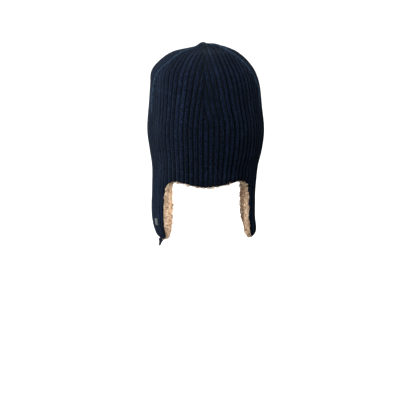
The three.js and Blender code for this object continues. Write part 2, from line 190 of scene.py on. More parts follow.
half_floor = FLOOR_SIZE / 2
floor_mesh = bpy.data.meshes.new("floor")
floor_corners = [(x * half_floor, y * half_floor, FLOOR_Z) for x, y in ((-1, -1), (1, -1), (1, 1), (-1, 1))]
floor_mesh.from_pydata(floor_corners, [], [(0, 1, 2, 3)])
floor = bpy.data.objects.new("floor", floor_mesh)
floor_material, floor_shader = plain_material("white floor", FLOOR_WHITE, roughness=0.9)
put_all(floor_shader, Specular_IOR_Level=0.1)
floor_tree = floor_material.node_tree
see_through = floor_tree.nodes.new("ShaderNodeMixShader")
floor_seen = floor_tree.nodes.new("ShaderNodeLightPath").outputs["Is Camera Ray"]
from_below = floor_tree.nodes.new("ShaderNodeNewGeometry").outputs["Backfacing"]
unseen = maths(floor_tree, "SUBTRACT", 1, floor_seen)
put(see_through.inputs["Fac"], maths(floor_tree, "MAXIMUM", from_below, unseen))
put(see_through.inputs[1], floor_shader.outputs["BSDF"])
put(see_through.inputs[2], floor_tree.nodes.new("ShaderNodeBsdfTransparent").outputs["BSDF"])
put(floor_tree.nodes["Material Output"].inputs["Surface"], see_through.outputs["Shader"])
floor_mesh.materials.append(floor_material)
bpy.context.scene.collection.objects.link(floor)
floor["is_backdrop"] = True

WHITE = 1.07
SKY_LIGHT = 0.85
LEAN_TO_LEFT = 0.68
LEAN_TO_TOP = 1.0
SKY_LEAST = 0.08

world = bpy.data.worlds.new("white surroundings")
world.use_nodes = True
sky = world.node_tree
sideways = sky.nodes.new("ShaderNodeSeparateXYZ")
put(sideways.inputs[0], sky.nodes.new("ShaderNodeTexCoord").outputs["Generated"])
leaning = maths(sky, "MULTIPLY_ADD", sideways.outputs["X"], -SKY_LIGHT * LEAN_TO_LEFT, SKY_LIGHT)
leaning = maths(sky, "MULTIPLY_ADD", sideways.outputs["Z"], SKY_LIGHT * LEAN_TO_TOP, leaning)
leaning = maths(sky, "MAXIMUM", leaning, SKY_LEAST)
seen = sky.nodes.new("ShaderNodeLightPath").outputs["Is Camera Ray"]
evened = maths(sky, "MULTIPLY", maths(sky, "SUBTRACT", WHITE, leaning), seen)
sky.nodes["Background"].inputs["Color"].default_value = (1, 1, 1, 1)
put(sky.nodes["Background"].inputs["Strength"], maths(sky, "ADD", leaning, evened))
bpy.context.scene.world = world
bpy.context.scene.view_settings.view_transform = "Standard"

HAT_MIDDLE = (0, 0, -0.13)
# Each row has a light's name, place, aim, size, power in watts and colour.
LIGHTS = (
    ("key", (-2.4, 0.1, 0.4), HAT_MIDDLE, 0.9, 40, (0.92, 0.99, 1)),
    ("fill", (-0.75, -1.85, 1.25), HAT_MIDDLE, 0.9, 78, (1, 0.99, 0.97)),
    ("glow", (0.01, 0.01, -0.235), (-0.1, 0.02, -0.265), 0.12, 0.2, (1, 0.97, 0.93)),
)
for light in LIGHTS:
    softbox(*light)

# %% [markdown]
# A knitter's pattern gives a cap as rounds: how wide it is at each height. This table does the same,
# with a row for each height, and repeats the one that the solids came from. A smooth curve through
# the rows gives every round between them. Lengths are in millimetres here, as on a pattern.

# %% Rounds of the cap
# z is the height, left and right the half-widths, back and front the reach behind and before the
# top, and wide how far forward the round is widest.
Z, LEFT, RIGHT, BACK, FRONT, WIDE = range(6)
ROUNDS = np.array([
    (10, 0, 0, 0, 0, 0),
    (8.6, 8, 16, 9, 22, 6),
    (5.6, 16, 27, 17, 38, 10),
    (2, 30, 37.5, 27, 53, 14),
    (-2.7, 50, 47.5, 39, 67, 18),
    (-14.7, 68, 61.8, 54, 86, 21),
    (-31.2, 81.5, 73.6, 68, 102, 20),
    (-52.2, 83.5, 80.7, 79, 111, 17),
    (-82.2, 85.2, 84.2, 88, 115, 14),
    (-119.2, 87.6, 87.6, 92, 113, 11),
    (-149.2, 83.7, 84.2, 91, 109, 8),
    (-172.2, 80.4, 78.4, 88, 104, 4),
    (-206.2, 80.8, 75, 88, 99, 0),
    (-246.2, 81.2, 74.5, 90, 97, 0),
    (-269.2, 76.2, 76, 88, 95, 0),
    (-291.2, 64, 66, 84, 91, 0),
])
SQUARENESS = 0.035
WIDEST_Z = -118
FINE_STEPS = 4000
NORMAL_TURN = 0.01
NORMAL_DOWN = 0.5
TINY = 1e-12

over_the_top = -ROUNDS[1]
over_the_top[Z] = ROUNDS[1, Z]
knots = np.vstack([over_the_top, ROUNDS, 2 * ROUNDS[-1] - ROUNDS[-2]])
knot_reach = (knots[:, LEFT] + knots[:, RIGHT]) / 2
knot_downs = np.concatenate([[0], np.cumsum(np.hypot(np.diff(knot_reach), np.diff(knots[:, Z])))])
top_down = knot_downs[1]
WALL_LENGTH = knot_downs[-2] - top_down
knot_slopes = (knots[2:] - knots[:-2]) / (knot_downs[2:] - knot_downs[:-2])[:, None]


def round_at(down):
    """The round at a distance down the wall from the top."""
    along = np.clip(down, 0, WALL_LENGTH) + top_down
    i = np.clip(np.searchsorted(knot_downs, along) - 1, 1, len(ROUNDS) - 1)
    span = knot_downs[i + 1] - knot_downs[i]
    t = ((along - knot_downs[i]) / span)[..., None]
    start = 2 * t**3 - 3 * t**2 + 1
    leave = (t**3 - 2 * t**2 + t) * span[..., None] * knot_slopes[i - 1]
    arrive = (t**3 - t**2) * span[..., None] * knot_slopes[i]
    return start * knots[i] + (1 - start) * knots[i + 1] + leave + arrive


def skin_point(down, turn):
    """A point on the smooth outside. turn is in radians from the middle of the back."""
    z, left, right, back, front, wide = np.moveaxis(round_at(down), -1, 0)
    sine, cosine = np.sin(turn), np.cos(turn)
    full = 1 + SQUARENESS * np.sin(2 * turn) ** 2
    side = np.where(sine > 0, right, left)
    depth = np.where(cosine > 0, back + wide, front - wide)
    return np.stack([side * sine * full, wide - depth * cosine * full, z], -1)


def unit(vectors):
    """Vectors of length 1 in the same directions."""
    return vectors / np.maximum(np.linalg.norm(vectors, axis=-1, keepdims=True), TINY)


def skin_normal(down, turn):
    """The direction that points out of the smooth outside."""
    along_turn = skin_point(down, turn + NORMAL_TURN) - skin_point(down, turn - NORMAL_TURN)
    along_down = skin_point(down + NORMAL_DOWN, turn) - skin_point(down - NORMAL_DOWN, turn)
    straight_up = np.broadcast_to((0.0, 0.0, 1.0), along_turn.shape)
    return np.where(down[..., None] < NORMAL_DOWN, straight_up, unit(np.cross(along_down, along_turn)))


fine_downs = np.linspace(0, WALL_LENGTH, FINE_STEPS)
fine_heights = round_at(fine_downs)[:, Z]


def down_at(z):
    """The distance down the wall at a height."""
    return np.interp(-np.asarray(z, float), -fine_heights, fine_downs)


print("down the wall in mm", round(float(WALL_LENGTH), 1))

# %% [markdown]
# Ribs are equally wide on a relaxed cap, so places round it are counted as lengths along the widest
# round, not as angles.

# %% Lengths round the cap
LAP_STEPS = 720


def travelled(points):
    """How far along a line of points each of them lies."""
    return np.concatenate([[0], np.cumsum(np.linalg.norm(np.diff(points, axis=0), axis=1))])


lap_degrees = np.linspace(-180, 180, LAP_STEPS + 1)
widest_down = np.full(LAP_STEPS + 1, down_at(WIDEST_Z))
lap_points = skin_point(widest_down, np.radians(lap_degrees))
lap_lengths = travelled(lap_points)
GIRTH = lap_lengths[-1]


def length_at(degrees):
    """The length along the widest round, from a turn in degrees."""
    laps = np.floor((np.asarray(degrees, float) + 180) / 360)
    return laps * GIRTH + np.interp(degrees - laps * 360, lap_degrees, lap_lengths)


def turn_at(length):
    """The turn in radians, from a length along the widest round."""
    laps = np.floor(length / GIRTH)
    return np.radians(laps * 360 + np.interp(length - laps * GIRTH, lap_lengths, lap_degrees))


BACK_LENGTH = float(length_at(0))
print("girth in mm", round(float(GIRTH), 1))

# %% [markdown]
# Four darts take the cap in towards its top. A dart is a seam that cuts off the ribs on both sides of
# it, so that they end in arrowheads. Each row of a dart gives its height, its turn from the middle of
# the back, and how many ribs it has cut off before and after it. The back and side darts follow the
# photograph, and the front one is a guess. An average over a short stretch of wall rounds the bends
# between the rows.

# %% Darts
# lift is how far the seam stands up, or sinks in where it is below 0, half its half-width, and
# shoulder the depth of the two shallow troughs beside it.
BACK_DART = {"lift": -1.0, "half": 1.1, "shoulder": 0, "rows": [
    (-291, -2, 0, 0), (-102, -2, 0, 0), (-76, -2, 0.35, 1), (-49, -2, 1, 1.55),
    (-29, -2, 1.55, 2), (-13, -2, 2, 2.6), (-3, -2, 2.6, 3.1), (9, -2, 3.7, 3.9)]}
LEFT_DART = {"lift": 2.0, "half": 2.0, "shoulder": 0.9, "rows": [
    (-291, -67, 0, 0), (-75, -67, 0, 0), (-49, -65, 0, 0.5), (-31, -58, 0, 2.2),
    (-15, -49, 0, 4.2), (-3, -46, 2.2, 5.2), (2, -51, 5, 5.5), (9, -64, 9.5, 5.7)]}
RIGHT_DART = {"lift": 2.0, "half": 2.0, "shoulder": 0.9, "rows": [
    (-291, 70, 0, 0), (-55, 70, 0, 0), (-38, 66, 1, 0), (-25, 61, 2, 0),
    (-12, 57, 3, 0.4), (0, 51, 5.2, 3.8), (9, 62, 6.1, 8.8)]}
FRONT_DART = {"lift": -1.0, "half": 1.1, "shoulder": 0, "rows": [
    (-291, 179, 0, 0), (-102, 179, 0, 0), (-75, 179, 0.8, 0.8), (-13, 179, 2.2, 2.2),
    (2, 179, 3.5, 3.5), (9, 179, 6, 6)]}
PANELS = [
    {"from": FRONT_DART, "to": LEFT_DART, "ribs": 24, "lap": 1},
    {"from": LEFT_DART, "to": BACK_DART, "ribs": 14, "lap": 0},
    {"from": BACK_DART, "to": RIGHT_DART, "ribs": 15, "lap": 0},
    {"from": RIGHT_DART, "to": FRONT_DART, "ribs": 23, "lap": 0},
]
RIBS = sum(panel["ribs"] for panel in PANELS)
DART_EASE = 9.0

ease_steps = int(DART_EASE / (fine_downs[1] - fine_downs[0]))
ease_weights = np.hanning(2 * ease_steps + 3)[1:-1]
ease_weights = ease_weights / ease_weights.sum()


def dart_run(dart):
    """A dart's length round the cap and the ribs cut off before and after it, at each fine step down."""
    heights, turns, before, after = np.array(dart["rows"], float).T
    run = []
    for numbers in (length_at(turns), before, after):
        at_steps = np.interp(fine_heights, heights, numbers)
        run.append(np.convolve(np.pad(at_steps, ease_steps, mode="edge"), ease_weights, "valid"))
    return run


for dart in (BACK_DART, LEFT_DART, RIGHT_DART, FRONT_DART):
    dart["run"] = dart_run(dart)


def borders(panel, down):
    """Where a panel starts and ends round the cap, and the first and last of its ribs that are left."""
    start, _, first = (np.interp(down, fine_downs, run) for run in panel["from"]["run"])
    end, cut_off, _ = (np.interp(down, fine_downs, run) for run in panel["to"]["run"])
    return np.stack([start - GIRTH * panel["lap"], end, first, panel["ribs"] - cut_off])


print("ribs", RIBS, "rib width in mm", round(float(GIRTH) / RIBS, 2))

# %% [markdown]
# Hand-worn knit is never even: ribs wander, furrows are deeper here and there, and the wall has
# shallow dents. One smooth noise serves all of these. It is a grid of random values, eased between
# its points, and it closes on itself round the cap so that no seam shows.

# %% Smooth noise round the cap
NOISE_ROWS = 64


def eased(t):
    """A share from 0 to 1, slowed down at both ends."""
    return t * t * (3 - 2 * t)


def rise(value, low, high):
    """0 below low, 1 above high, and eased between them."""
    return eased(np.clip((value - low) / (high - low), 0, 1))


def hump(value, half):
    """1 where a value is 0, falling off smoothly on both sides."""
    return np.exp(-((value / half) ** 2))


def soft_noise(length, z, patch, seed):
    """Smooth values from -1 to 1 over the cap, with patches about this many millimetres wide."""
    across = max(int(round(GIRTH / patch)), 1)
    grid = np.random.default_rng(seed).uniform(-1, 1, (across, NOISE_ROWS))
    x = np.mod(length / GIRTH, 1) * across
    y = np.mod(z / patch, NOISE_ROWS)
    i, j = np.floor(x).astype(int), np.floor(y).astype(int)
    fx, fy = eased(x - i), eased(y - j)
    i, j = i % across, j % NOISE_ROWS
    after_i, after_j = (i + 1) % across, (j + 1) % NOISE_ROWS
    near = grid[i, j] * (1 - fx) + grid[after_i, j] * fx
    far = grid[i, after_j] * (1 - fx) + grid[after_i, after_j] * fx
    return near * (1 - fy) + far * fy


print("noise at the back", round(float(soft_noise(np.array(BACK_LENGTH), np.array(-100.0), 40, 1)), 3))

# %% [markdown]
# The hem is one line round the hat: across the back, round a corner, down and round each flap, and
# up to the forehead. It is drawn flat, as on a paper pattern, with the length round the cap across
# and the height up. Curves with a few handles keep it smooth and easy to change.

# %% Hem line
# rear and front are the turns of a flap's edges and tip its lowest height, across and down the size of
# its corner with the back hem, and flare how much further forward its front edge is at the bottom.
BACK_HEM_MIDDLE = -195
BACK_HEM_SIDES = -188
FOREHEAD_MIDDLE = -99
FOREHEAD_SIDES = -105
FOREHEAD_CORNER_ACROSS = 30
FOREHEAD_CORNER_DOWN = 34
HEM_EASE = 0.25
FLAP_SLANT = 3
FLAP_TILT = 7
FLAP_REAR_ACROSS = 17
FLAP_REAR_UP = 14
FLAP_FRONT_ACROSS = 42
FLAP_FRONT_UP = 42
FLAP_FULLNESS = 0.6
HEM_POINTS = 36
FLAPS = {
    "left": {"side": -1, "rear": -50.4, "front": -134, "tip": -284.2, "across": 31, "down": 27, "flare": 5},
    "right": {"side": 1, "rear": 62.6, "front": 127.5, "tip": -281.7, "across": 37, "down": 36, "flare": -3},
}


def bezier(*handles):
    """Points along a Bezier curve, without its first."""
    t = np.linspace(0, 1, HEM_POINTS + 1)[1:, None]
    level = [np.array(handle, float) for handle in handles]
    while len(level) > 1:
        level = [a + (b - a) * t for a, b in zip(level, level[1:])]
    return level[0]


def between(a, b, share):
    """The value that lies this share of the way from a to b."""
    return a + (b - a) * share


def half_hem(flap):
    """One side's hem from the middle of the back to the forehead: length from the back, height."""
    rear = abs(float(length_at(flap["rear"])) - BACK_LENGTH)
    front = abs(float(length_at(flap["front"])) - BACK_LENGTH)
    half, tip, flare = GIRTH / 2, flap["tip"], flap["flare"]
    corner, edge, low = tip + FLAP_TILT, rear + FLAP_SLANT, front - FLAP_FRONT_ACROSS
    turned = FLAP_REAR_ACROSS / (low - edge)
    bottom = (between(edge, low, turned), between(corner, tip, turned))
    front_top = (front + flare / 2, tip + FLAP_FRONT_UP)
    brow_corner = (front, FOREHEAD_SIDES - FOREHEAD_CORNER_DOWN)
    brow = front + FOREHEAD_CORNER_ACROSS
    back_end = (rear - flap["across"], BACK_HEM_SIDES)
    back_corner = (rear, BACK_HEM_SIDES - flap["down"])
    return np.vstack([
        [(0, BACK_HEM_MIDDLE)],
        bezier((0, BACK_HEM_MIDDLE), (rear * HEM_EASE, BACK_HEM_MIDDLE),
               (rear * 2 * HEM_EASE, BACK_HEM_SIDES), back_end),
        bezier(back_end, (rear, BACK_HEM_SIDES), back_corner),
        bezier(back_corner, (edge, corner + FLAP_REAR_UP)),
        bezier((edge, corner + FLAP_REAR_UP), (edge, corner), bottom),
        bezier(bottom, (between(edge, low, FLAP_FULLNESS), tip), (low, tip)),
        bezier((low, tip), (between(low, front, FLAP_FULLNESS), tip),
               (front + flare, tip + FLAP_FRONT_UP * (1 - FLAP_FULLNESS)), front_top),
        bezier(front_top, brow_corner),
        bezier(brow_corner, (front, FOREHEAD_SIDES), (brow, FOREHEAD_SIDES)),
        bezier((brow, FOREHEAD_SIDES), (between(brow, half, HEM_EASE), FOREHEAD_SIDES),
               (between(half, front, HEM_EASE), FOREHEAD_MIDDLE), (half, FOREHEAD_MIDDLE)),
    ])


left_half, right_half = half_hem(FLAPS["left"]), half_hem(FLAPS["right"])
hem_line = np.vstack([(left_half * (-1, 1))[::-1], right_half[1:]]) + (BACK_LENGTH, 0)
print("hem line", len(hem_line), "points, lowest", round(float(hem_line[:, 1].min()), 1))

# %% [markdown]
# To cut a fine grid at the hem, each of its points has to know how far it is inside the cloth. The
# distance to the hem line gives that, and its sign comes from how many times the line passes above
# the point. Points are taken a few thousand at a time, which keeps the arrays small.

# %% Distance inside the hem
POINTS_AT_A_TIME = 4000


def crossings_above(length, z):
    """How many times the hem line passes over each place: an odd number is outside the cloth."""
    lower, higher = hem_line[:-1], hem_line[1:]
    count = np.zeros(length.shape, int)
    for (x0, z0), (x1, z1) in zip(lower, higher):
        if x0 == x1:
            continue
        in_step = (length >= min(x0, x1)) & (length < max(x0, x1))
        count += in_step & (z0 + (z1 - z0) * (length - x0) / (x1 - x0) > z)
    return count


def distance_inside(length, z):
    """Millimetres inside the hem, and below 0 outside it."""
    lap_start = hem_line[0, 0]
    length = lap_start + np.mod(length - lap_start, GIRTH)
    start, step = hem_line[:-1], np.diff(hem_line, axis=0)
    flat = np.stack([length.ravel(), z.ravel()], -1)
    nearest = np.empty(len(flat))
    for first in range(0, len(flat), POINTS_AT_A_TIME):
        some = flat[first:first + POINTS_AT_A_TIME, None] - start
        along = np.clip((some * step).sum(-1) / (step**2).sum(-1), 0, 1)
        gaps = some - along[..., None] * step
        nearest[first:first + POINTS_AT_A_TIME] = np.sqrt((gaps**2).sum(-1).min(1))
    outside = crossings_above(length, z) % 2 == 1
    return np.where(outside, -1, 1) * nearest.reshape(length.shape)


print("mm inside, at the back", distance_inside(np.full(2, BACK_LENGTH), np.array([-150.0, -250.0])).round(1))

# %% [markdown]
# A cut grid is kept as one array of points and a list of faces. A face that the hem crosses is
# trimmed where its edges meet the hem, and the trimmed corners are shared with its neighbour, so
# that the edge is one clean line. Every value that a point carries is trimmed with it.

# %% Trim a grid at the hem
# A cut nearer to a point than this share of its edge is made at the point.
SNAP = 0.12
SAME_PLACE = 1e-4


def grid_faces(rows, columns):
    """Faces of a grid whose points are counted along its rows, facing outwards."""
    corner = np.arange(rows - 1)[:, None] * columns + np.arange(columns - 1)
    faces = np.stack([corner, corner + columns, corner + columns + 1, corner + 1], -1)
    return faces.reshape(-1, 4)


def trimmed(values, faces, inside):
    """values is a row of numbers for each point. Returns the values and faces that lie inside."""
    kept = inside[faces] >= 0
    whole = faces[kept.all(1)].tolist()
    pairs, number = [], {}

    def cut(a, b):
        share = inside[a] / (inside[a] - inside[b])
        if share < SNAP:
            return a
        key = (a, b)
        if key not in number:
            number[key] = len(values) + len(pairs)
            pairs.append((a, b, share))
        return number[key]

    for face in faces[kept.any(1) & ~kept.all(1)].tolist():
        corners = []
        for a, b in zip(face, face[1:] + face[:1]):
            if inside[a] >= 0:
                corners.append(a)
                if inside[b] < 0:
                    corners.append(cut(a, b))
            elif inside[b] >= 0:
                corners.append(cut(b, a))
        corners = [c for c, before in zip(corners, corners[-1:] + corners[:-1]) if c != before]
        if len(corners) > 2:
            whole.append(corners)
    a, b, share = (np.array(x) for x in zip(*pairs))
    made = values[a.astype(int)] * (1 - share[:, None]) + values[b.astype(int)] * share[:, None]
    return np.vstack([values, made]), whole


def welded(places, faces):
    """The faces that are left when points in one place are one. A corner is that point and its own."""
    keys = np.round(places / SAME_PLACE).astype(np.int64)
    _, first, same = np.unique(keys, axis=0, return_index=True, return_inverse=True)
    into = first[same.ravel()]
    kept = []
    for face in faces:
        corners = [(into[c], c) for c in face]
        corners = [c for c, before in zip(corners, corners[-1:] + corners[:-1]) if c[0] != before[0]]
        if len({c[0] for c in corners}) > 2:
            kept.append(corners)
    return kept


print("a grid of 3 by 3 has", len(grid_faces(3, 3)), "faces")

# %% [markdown]
# The edge of a knit is soft and thick, never a paper edge. So the trimmed line is rolled over: rings
# of points follow it round a half circle and then a little way back between the two cloths. Where
# a furrow meets the hem the roll is thinner, which gives the edge its small scallops.

# %% Roll the edge
ROLL_STEPS = 7
TUCK = 6.0
EDGE_SMOOTHING = 3


def edge_loop(faces):
    """The open edge of a mesh, as a list of its points in order."""
    seen = set()
    for face in faces:
        for a, b in zip(face, face[1:] + face[:1]):
            if (b, a) in seen:
                seen.remove((b, a))
            else:
                seen.add((a, b))
    after = dict(seen)
    loops = []
    while after:
        start, here = after.popitem()
        loop = [start]
        while here != start:
            loop.append(here)
            here = after.pop(here)
        loops.append(loop)
    return max(loops, key=len)


def rolled(places, normals, loop, thickness):
    """Adds a rolled edge. thickness is each loop point's, and the roll turns away from the normals."""
    line = places[loop]
    smooth = line.copy()
    for _ in range(EDGE_SMOOTHING):
        smooth = (np.roll(smooth, 1, 0) + 2 * smooth + np.roll(smooth, -1, 0)) / 4
    along = unit(np.roll(smooth, -2, 0) - np.roll(smooth, 2, 0))
    normal = normals[loop]
    outward = unit(np.cross(along, normal))
    radius = (thickness / 2)[:, None]
    rings = []
    for angle in np.linspace(0, math.pi, ROLL_STEPS + 1)[1:]:
        rings.append(line + outward * radius * math.sin(angle) - normal * radius * (1 - math.cos(angle)))
    rings.append(rings[-1] - outward * TUCK)
    numbers = [loop]
    for k in range(len(rings)):
        numbers.append((len(places) + k * len(loop) + np.arange(len(loop))).tolist())
    more = []
    for upper, lower in zip(numbers, numbers[1:]):
        for i, a in enumerate(upper):
            j = (i + 1) % len(upper)
            more.append([upper[j], a, lower[i], lower[j]])
    return np.vstack([places, *rings]), more, outward


print("the roll has", ROLL_STEPS, "steps and a tuck of", TUCK, "mm")

# %% [markdown]
# Now the knit itself. A rib is two columns of stitches that stand up between narrow furrows, so
# each rib gets eight columns of points, closest together at its furrows. Geometry carries the ribs,
# darts, seams, dents and the nub. Single stitches are too fine for it and are left to bump.

# %% Columns of the knit
RIB_PHASES = np.array([0, 0.07, 0.19, 0.35, 0.5, 0.65, 0.81, 0.93])
KNIT_ROWS = 158
KNIT_ROW_EASE = 1.12

column_panel = np.concatenate([np.full(panel["ribs"] * len(RIB_PHASES), i) for i, panel in enumerate(PANELS)])
column_rib = np.concatenate([
    (np.arange(panel["ribs"])[:, None] + RIB_PHASES).ravel() for panel in PANELS])
panel_first_rib = np.cumsum([0] + [panel["ribs"] for panel in PANELS[:-1]])
knit_downs = WALL_LENGTH * (np.arange(1, KNIT_ROWS + 1) / KNIT_ROWS) ** KNIT_ROW_EASE
print("columns", len(column_rib), "rows", KNIT_ROWS)

# %% Where each column runs
# A column keeps its rib all the way up, until a dart cuts the rib off. After that it runs along the
# dart, where it has no width and is welded away. The last column closes the cap on the first.
knit_borders = np.stack([borders(panel, knit_downs) for panel in PANELS])
starts, ends, firsts, lasts = np.moveaxis(knit_borders[column_panel], 1, 0).transpose(0, 2, 1)
knit_share = np.clip((column_rib - firsts) / (lasts - firsts), 0, 1)
knit_length = between(starts, ends, knit_share)
knit_rib = panel_first_rib[column_panel] + between(firsts, lasts, knit_share)
knit_pitch = (ends - starts) / (lasts - firsts)
knit_to_dart = np.minimum(knit_share, 1 - knit_share) * (ends - starts)
knit_dart = {}
for name in ("lift", "half", "shoulder"):
    before = np.array([panel["from"][name] for panel in PANELS], float)[column_panel]
    after = np.array([panel["to"][name] for panel in PANELS], float)[column_panel]
    knit_dart[name] = np.where(knit_share < 0.5, before, after)


def closed(values, lap=0.0):
    """The grid with its first column once more at its end, a lap further on."""
    return np.hstack([values, values[:, :1] + lap])


knit_length = closed(knit_length, GIRTH)
knit_rib = closed(knit_rib, RIBS)
knit_pitch = closed(knit_pitch)
knit_to_dart = closed(knit_to_dart)
knit_dart = {name: closed(values) for name, values in knit_dart.items()}
knit_down = np.broadcast_to(knit_downs[:, None], knit_length.shape)
knit_round = round_at(knit_down)
knit_z = knit_round[..., Z]
widest_sum = round_at(np.array([down_at(WIDEST_Z)]))[0, LEFT:WIDE].sum()
taken_in = knit_round[..., LEFT:WIDE].sum(-1) / widest_sum
knit_pitch, knit_to_dart = knit_pitch * taken_in, knit_to_dart * taken_in
print("points before the cut", knit_length.size)

# %% [markdown]
# Ribs on worn knit drift a little, and where the hem turns down into a flap they swing out with it.
# The edge of the cloth also curls in, because the knit pulls harder than the lining under it.

# %% Wander of the ribs
WANDER = 1.3
WANDER_PATCH = 62
CORNER_BEND = 7.0
CORNER_WIDTH = 24.0
EDGE_CURL = 2.6
EDGE_CURL_WIDTH = 10.0
# Between these depths below the top of the head the corner's bend comes in.
BEND_DEPTHS = (150, 205)


def wandered(length, z):
    """Ribs drift a little, and swing out round the corners into the flaps."""
    moved = length + WANDER * soft_noise(length, z, WANDER_PATCH, seed=11)
    for flap in FLAPS.values():
        corner = float(length_at(flap["rear"]))
        near = hump(length - corner, CORNER_WIDTH)
        moved = moved + flap["side"] * CORNER_BEND * near * rise(-z, *BEND_DEPTHS)
    return moved


def edge_curl(inside):
    """How far the cloth curls in, this far inside its hem."""
    return EDGE_CURL * np.clip(1 - inside / EDGE_CURL_WIDTH, 0, 1) ** 2


knit_moved = wandered(knit_length, knit_z)
knit_turn = turn_at(knit_moved)
knit_inside = distance_inside(knit_moved, knit_z)
print("edge curls in by", EDGE_CURL, "mm")

# %% Relief of the knit
KNIT_WALL = 3.2
FURROW_DEPTH = 1.7
STRETCH_TURNS = (-180, -95, -70, -45, -15, 10, 180)
STRETCH_DEPTHS = (1, 0.5, 0.38, 0.45, 1.15, 1.5, 1.15)
FURROW_HALF = 1.15
FURROW_CHANCE = (0.55, 1.2)
FURROW_UNEVEN = 0.3
FURROW_PATCH = 26
WALE_DEPTH = 0.55
WALE_CHANCE = (0.1, 1.5)
WALE_HALF = 0.55
RIB_ARCH = 0.45
FULL_RIB_WIDTH = 5.0
LEAST_RIB = 0.15
DART_START = -100
DART_RISE = 30
SHOULDER_AT = 4.2
SHOULDER_HALF = 1.5
# Each row has the width of the dents, their depth and a seed.
DENTS = ((46, 0.55, 21), (19, 0.22, 22))
RIB_FADE = 10.0
TOP_RELIEF = 0.2
# Each row has a gather's place, x and y, its height and its half-width. The first is the nub.
GATHERS = ((-4.9, 4, 3.8, 5.5), (27, 22, 0.8, 12))
PUCKERS = 11
PUCKER_DEPTH = 0.5

knit_own_rib = np.floor(knit_rib).astype(int) % RIBS


def rib_height():
    """Ribs and furrows, 0 on top of a rib and below 0 elsewhere, and shallow where the knit is pulled wide.
    """
    phase = np.mod(knit_rib, 1)
    to_furrow = np.minimum(phase, 1 - phase) * knit_pitch
    chance = np.random.default_rng(31).uniform(*FURROW_CHANCE, RIBS + 1)
    uneven = FURROW_UNEVEN * soft_noise(knit_length, knit_z, FURROW_PATCH, seed=32)
    deep = chance[np.round(knit_rib).astype(int) % RIBS] + uneven
    deep = deep * np.interp(np.degrees(knit_turn), STRETCH_TURNS, STRETCH_DEPTHS)
    furrow = FURROW_DEPTH * deep * hump(to_furrow, FURROW_HALF)
    split = np.random.default_rng(33).uniform(*WALE_CHANCE, RIBS + 1)
    wale = WALE_DEPTH * split[knit_own_rib] * hump((phase - 0.5) * knit_pitch, WALE_HALF)
    arch = RIB_ARCH * (2 * phase - 1) ** 2
    return -(furrow + wale + arch) * np.clip(knit_pitch / FULL_RIB_WIDTH, LEAST_RIB, 1)


def gathered(x, y):
    """The nub where the darts meet, with its puckers, and the fullness beside it."""
    height = sum(high * hump(np.hypot(x - x0, y - y0), radius) for x0, y0, high, radius in GATHERS)
    x0, y0, _, radius = GATHERS[0]
    ring = hump(np.hypot(x - x0, y - y0) - 2 * radius, radius)
    return height + PUCKER_DEPTH * ring * np.cos(PUCKERS * np.arctan2(y - y0, x - x0))


darted = rise(knit_z, DART_START, DART_START + DART_RISE)
seam_half = between(FURROW_HALF, knit_dart["half"], darted)
seam_line = hump(knit_to_dart, seam_half)
seam_height = between(-FURROW_DEPTH, knit_dart["lift"], darted)
knit_ribs = between(rib_height(), seam_height, seam_line)
knit_ribs -= knit_dart["shoulder"] * darted * hump(knit_to_dart - SHOULDER_AT, SHOULDER_HALF)
knit_point = skin_point(knit_down, knit_turn)
top_x, top_y = knit_point[..., 0], knit_point[..., 1]
knit_ribs *= between(TOP_RELIEF, 1, rise(np.hypot(top_x, top_y), 0, RIB_FADE))
knit_height = knit_ribs + gathered(top_x, top_y) - edge_curl(knit_inside)
for patch, depth, seed in DENTS:
    knit_height += depth * soft_noise(knit_length, knit_z, patch, seed)
print("relief from", round(float(knit_height.min()), 2), "to", round(float(knit_height.max()), 2), "mm")

# %% Tone, painted shade and painted highlight of the knit
# Ribs differ a little in how light they are. Down in the furrows and in the troughs beside the seams
# the colour is painted darker, as painted shade. A raised seam gets a painted highlight along its
# ridge. Over the widest part of the left side the colour is painted darker too, as painted shade that
# tones down the strong light from the left.
RIB_SHADE_RANGE = 1.85
SEAM_HIGHLIGHT_HALF = 2.3
TONE_SPREAD = 0.09
TONE_UNEVEN = 0.1
TONE_PATCH = 15
LEFT_SHADE_TURN = -64
LEFT_SHADE_HALF = 34
LEFT_SHADE_STRENGTH = 0.14
LEFT_SHADE_HEIGHTS = (-200, -160)

rib_tones = np.random.default_rng(41).uniform(1 - TONE_SPREAD, 1 + TONE_SPREAD, RIBS + 1)
knit_tone = np.clip(1 + knit_ribs / RIB_SHADE_RANGE, 0, 1)
knit_tone *= rib_tones[knit_own_rib] + TONE_UNEVEN * soft_noise(knit_length, knit_z, TONE_PATCH, seed=42)
# Painted shade over the widest part of the left side, where the light from the left falls strongest.
left_shade = hump(np.degrees(knit_turn) - LEFT_SHADE_TURN, LEFT_SHADE_HALF)
left_shade *= rise(knit_z, *LEFT_SHADE_HEIGHTS)
knit_tone *= 1 - LEFT_SHADE_STRENGTH * left_shade
# A painted highlight along each raised seam, on the ridge that the light catches.
knit_worn = (knit_dart["lift"] > 0) * darted * hump(knit_to_dart, SEAM_HIGHLIGHT_HALF)
print("tone from", round(float(knit_tone.min()), 2), "to", round(float(knit_tone.max()), 2))

# %% Cut, weld and roll the knit
# These are the numbers that each point carries: its place, the way out of the cloth, how high it
# lies, its count of stitches across and along, its tone with painted shade, and its painted highlight.
PLACE = slice(0, 3)
NORMAL = slice(3, 6)
RELIEF = 6
STITCHES = slice(7, 9)
SHADE_AND_HIGHLIGHT = slice(9, 11)
COURSE = 2.15
WALES_PER_RIB = 2
TOP_SHADE_AND_TONE = 0.6
SCALLOP = 0.6


def capped(values, faces, top, fan):
    """Closes the top with a fan of faces round one more point, welds the faces and finds their edge."""
    faces = faces + [[len(values), *pair] for pair in fan]
    values = np.vstack([values, top])
    corners = welded(values[:, PLACE], faces)
    solid = [[int(c[0]) for c in face] for face in corners]
    return values, corners, solid, edge_loop(solid)


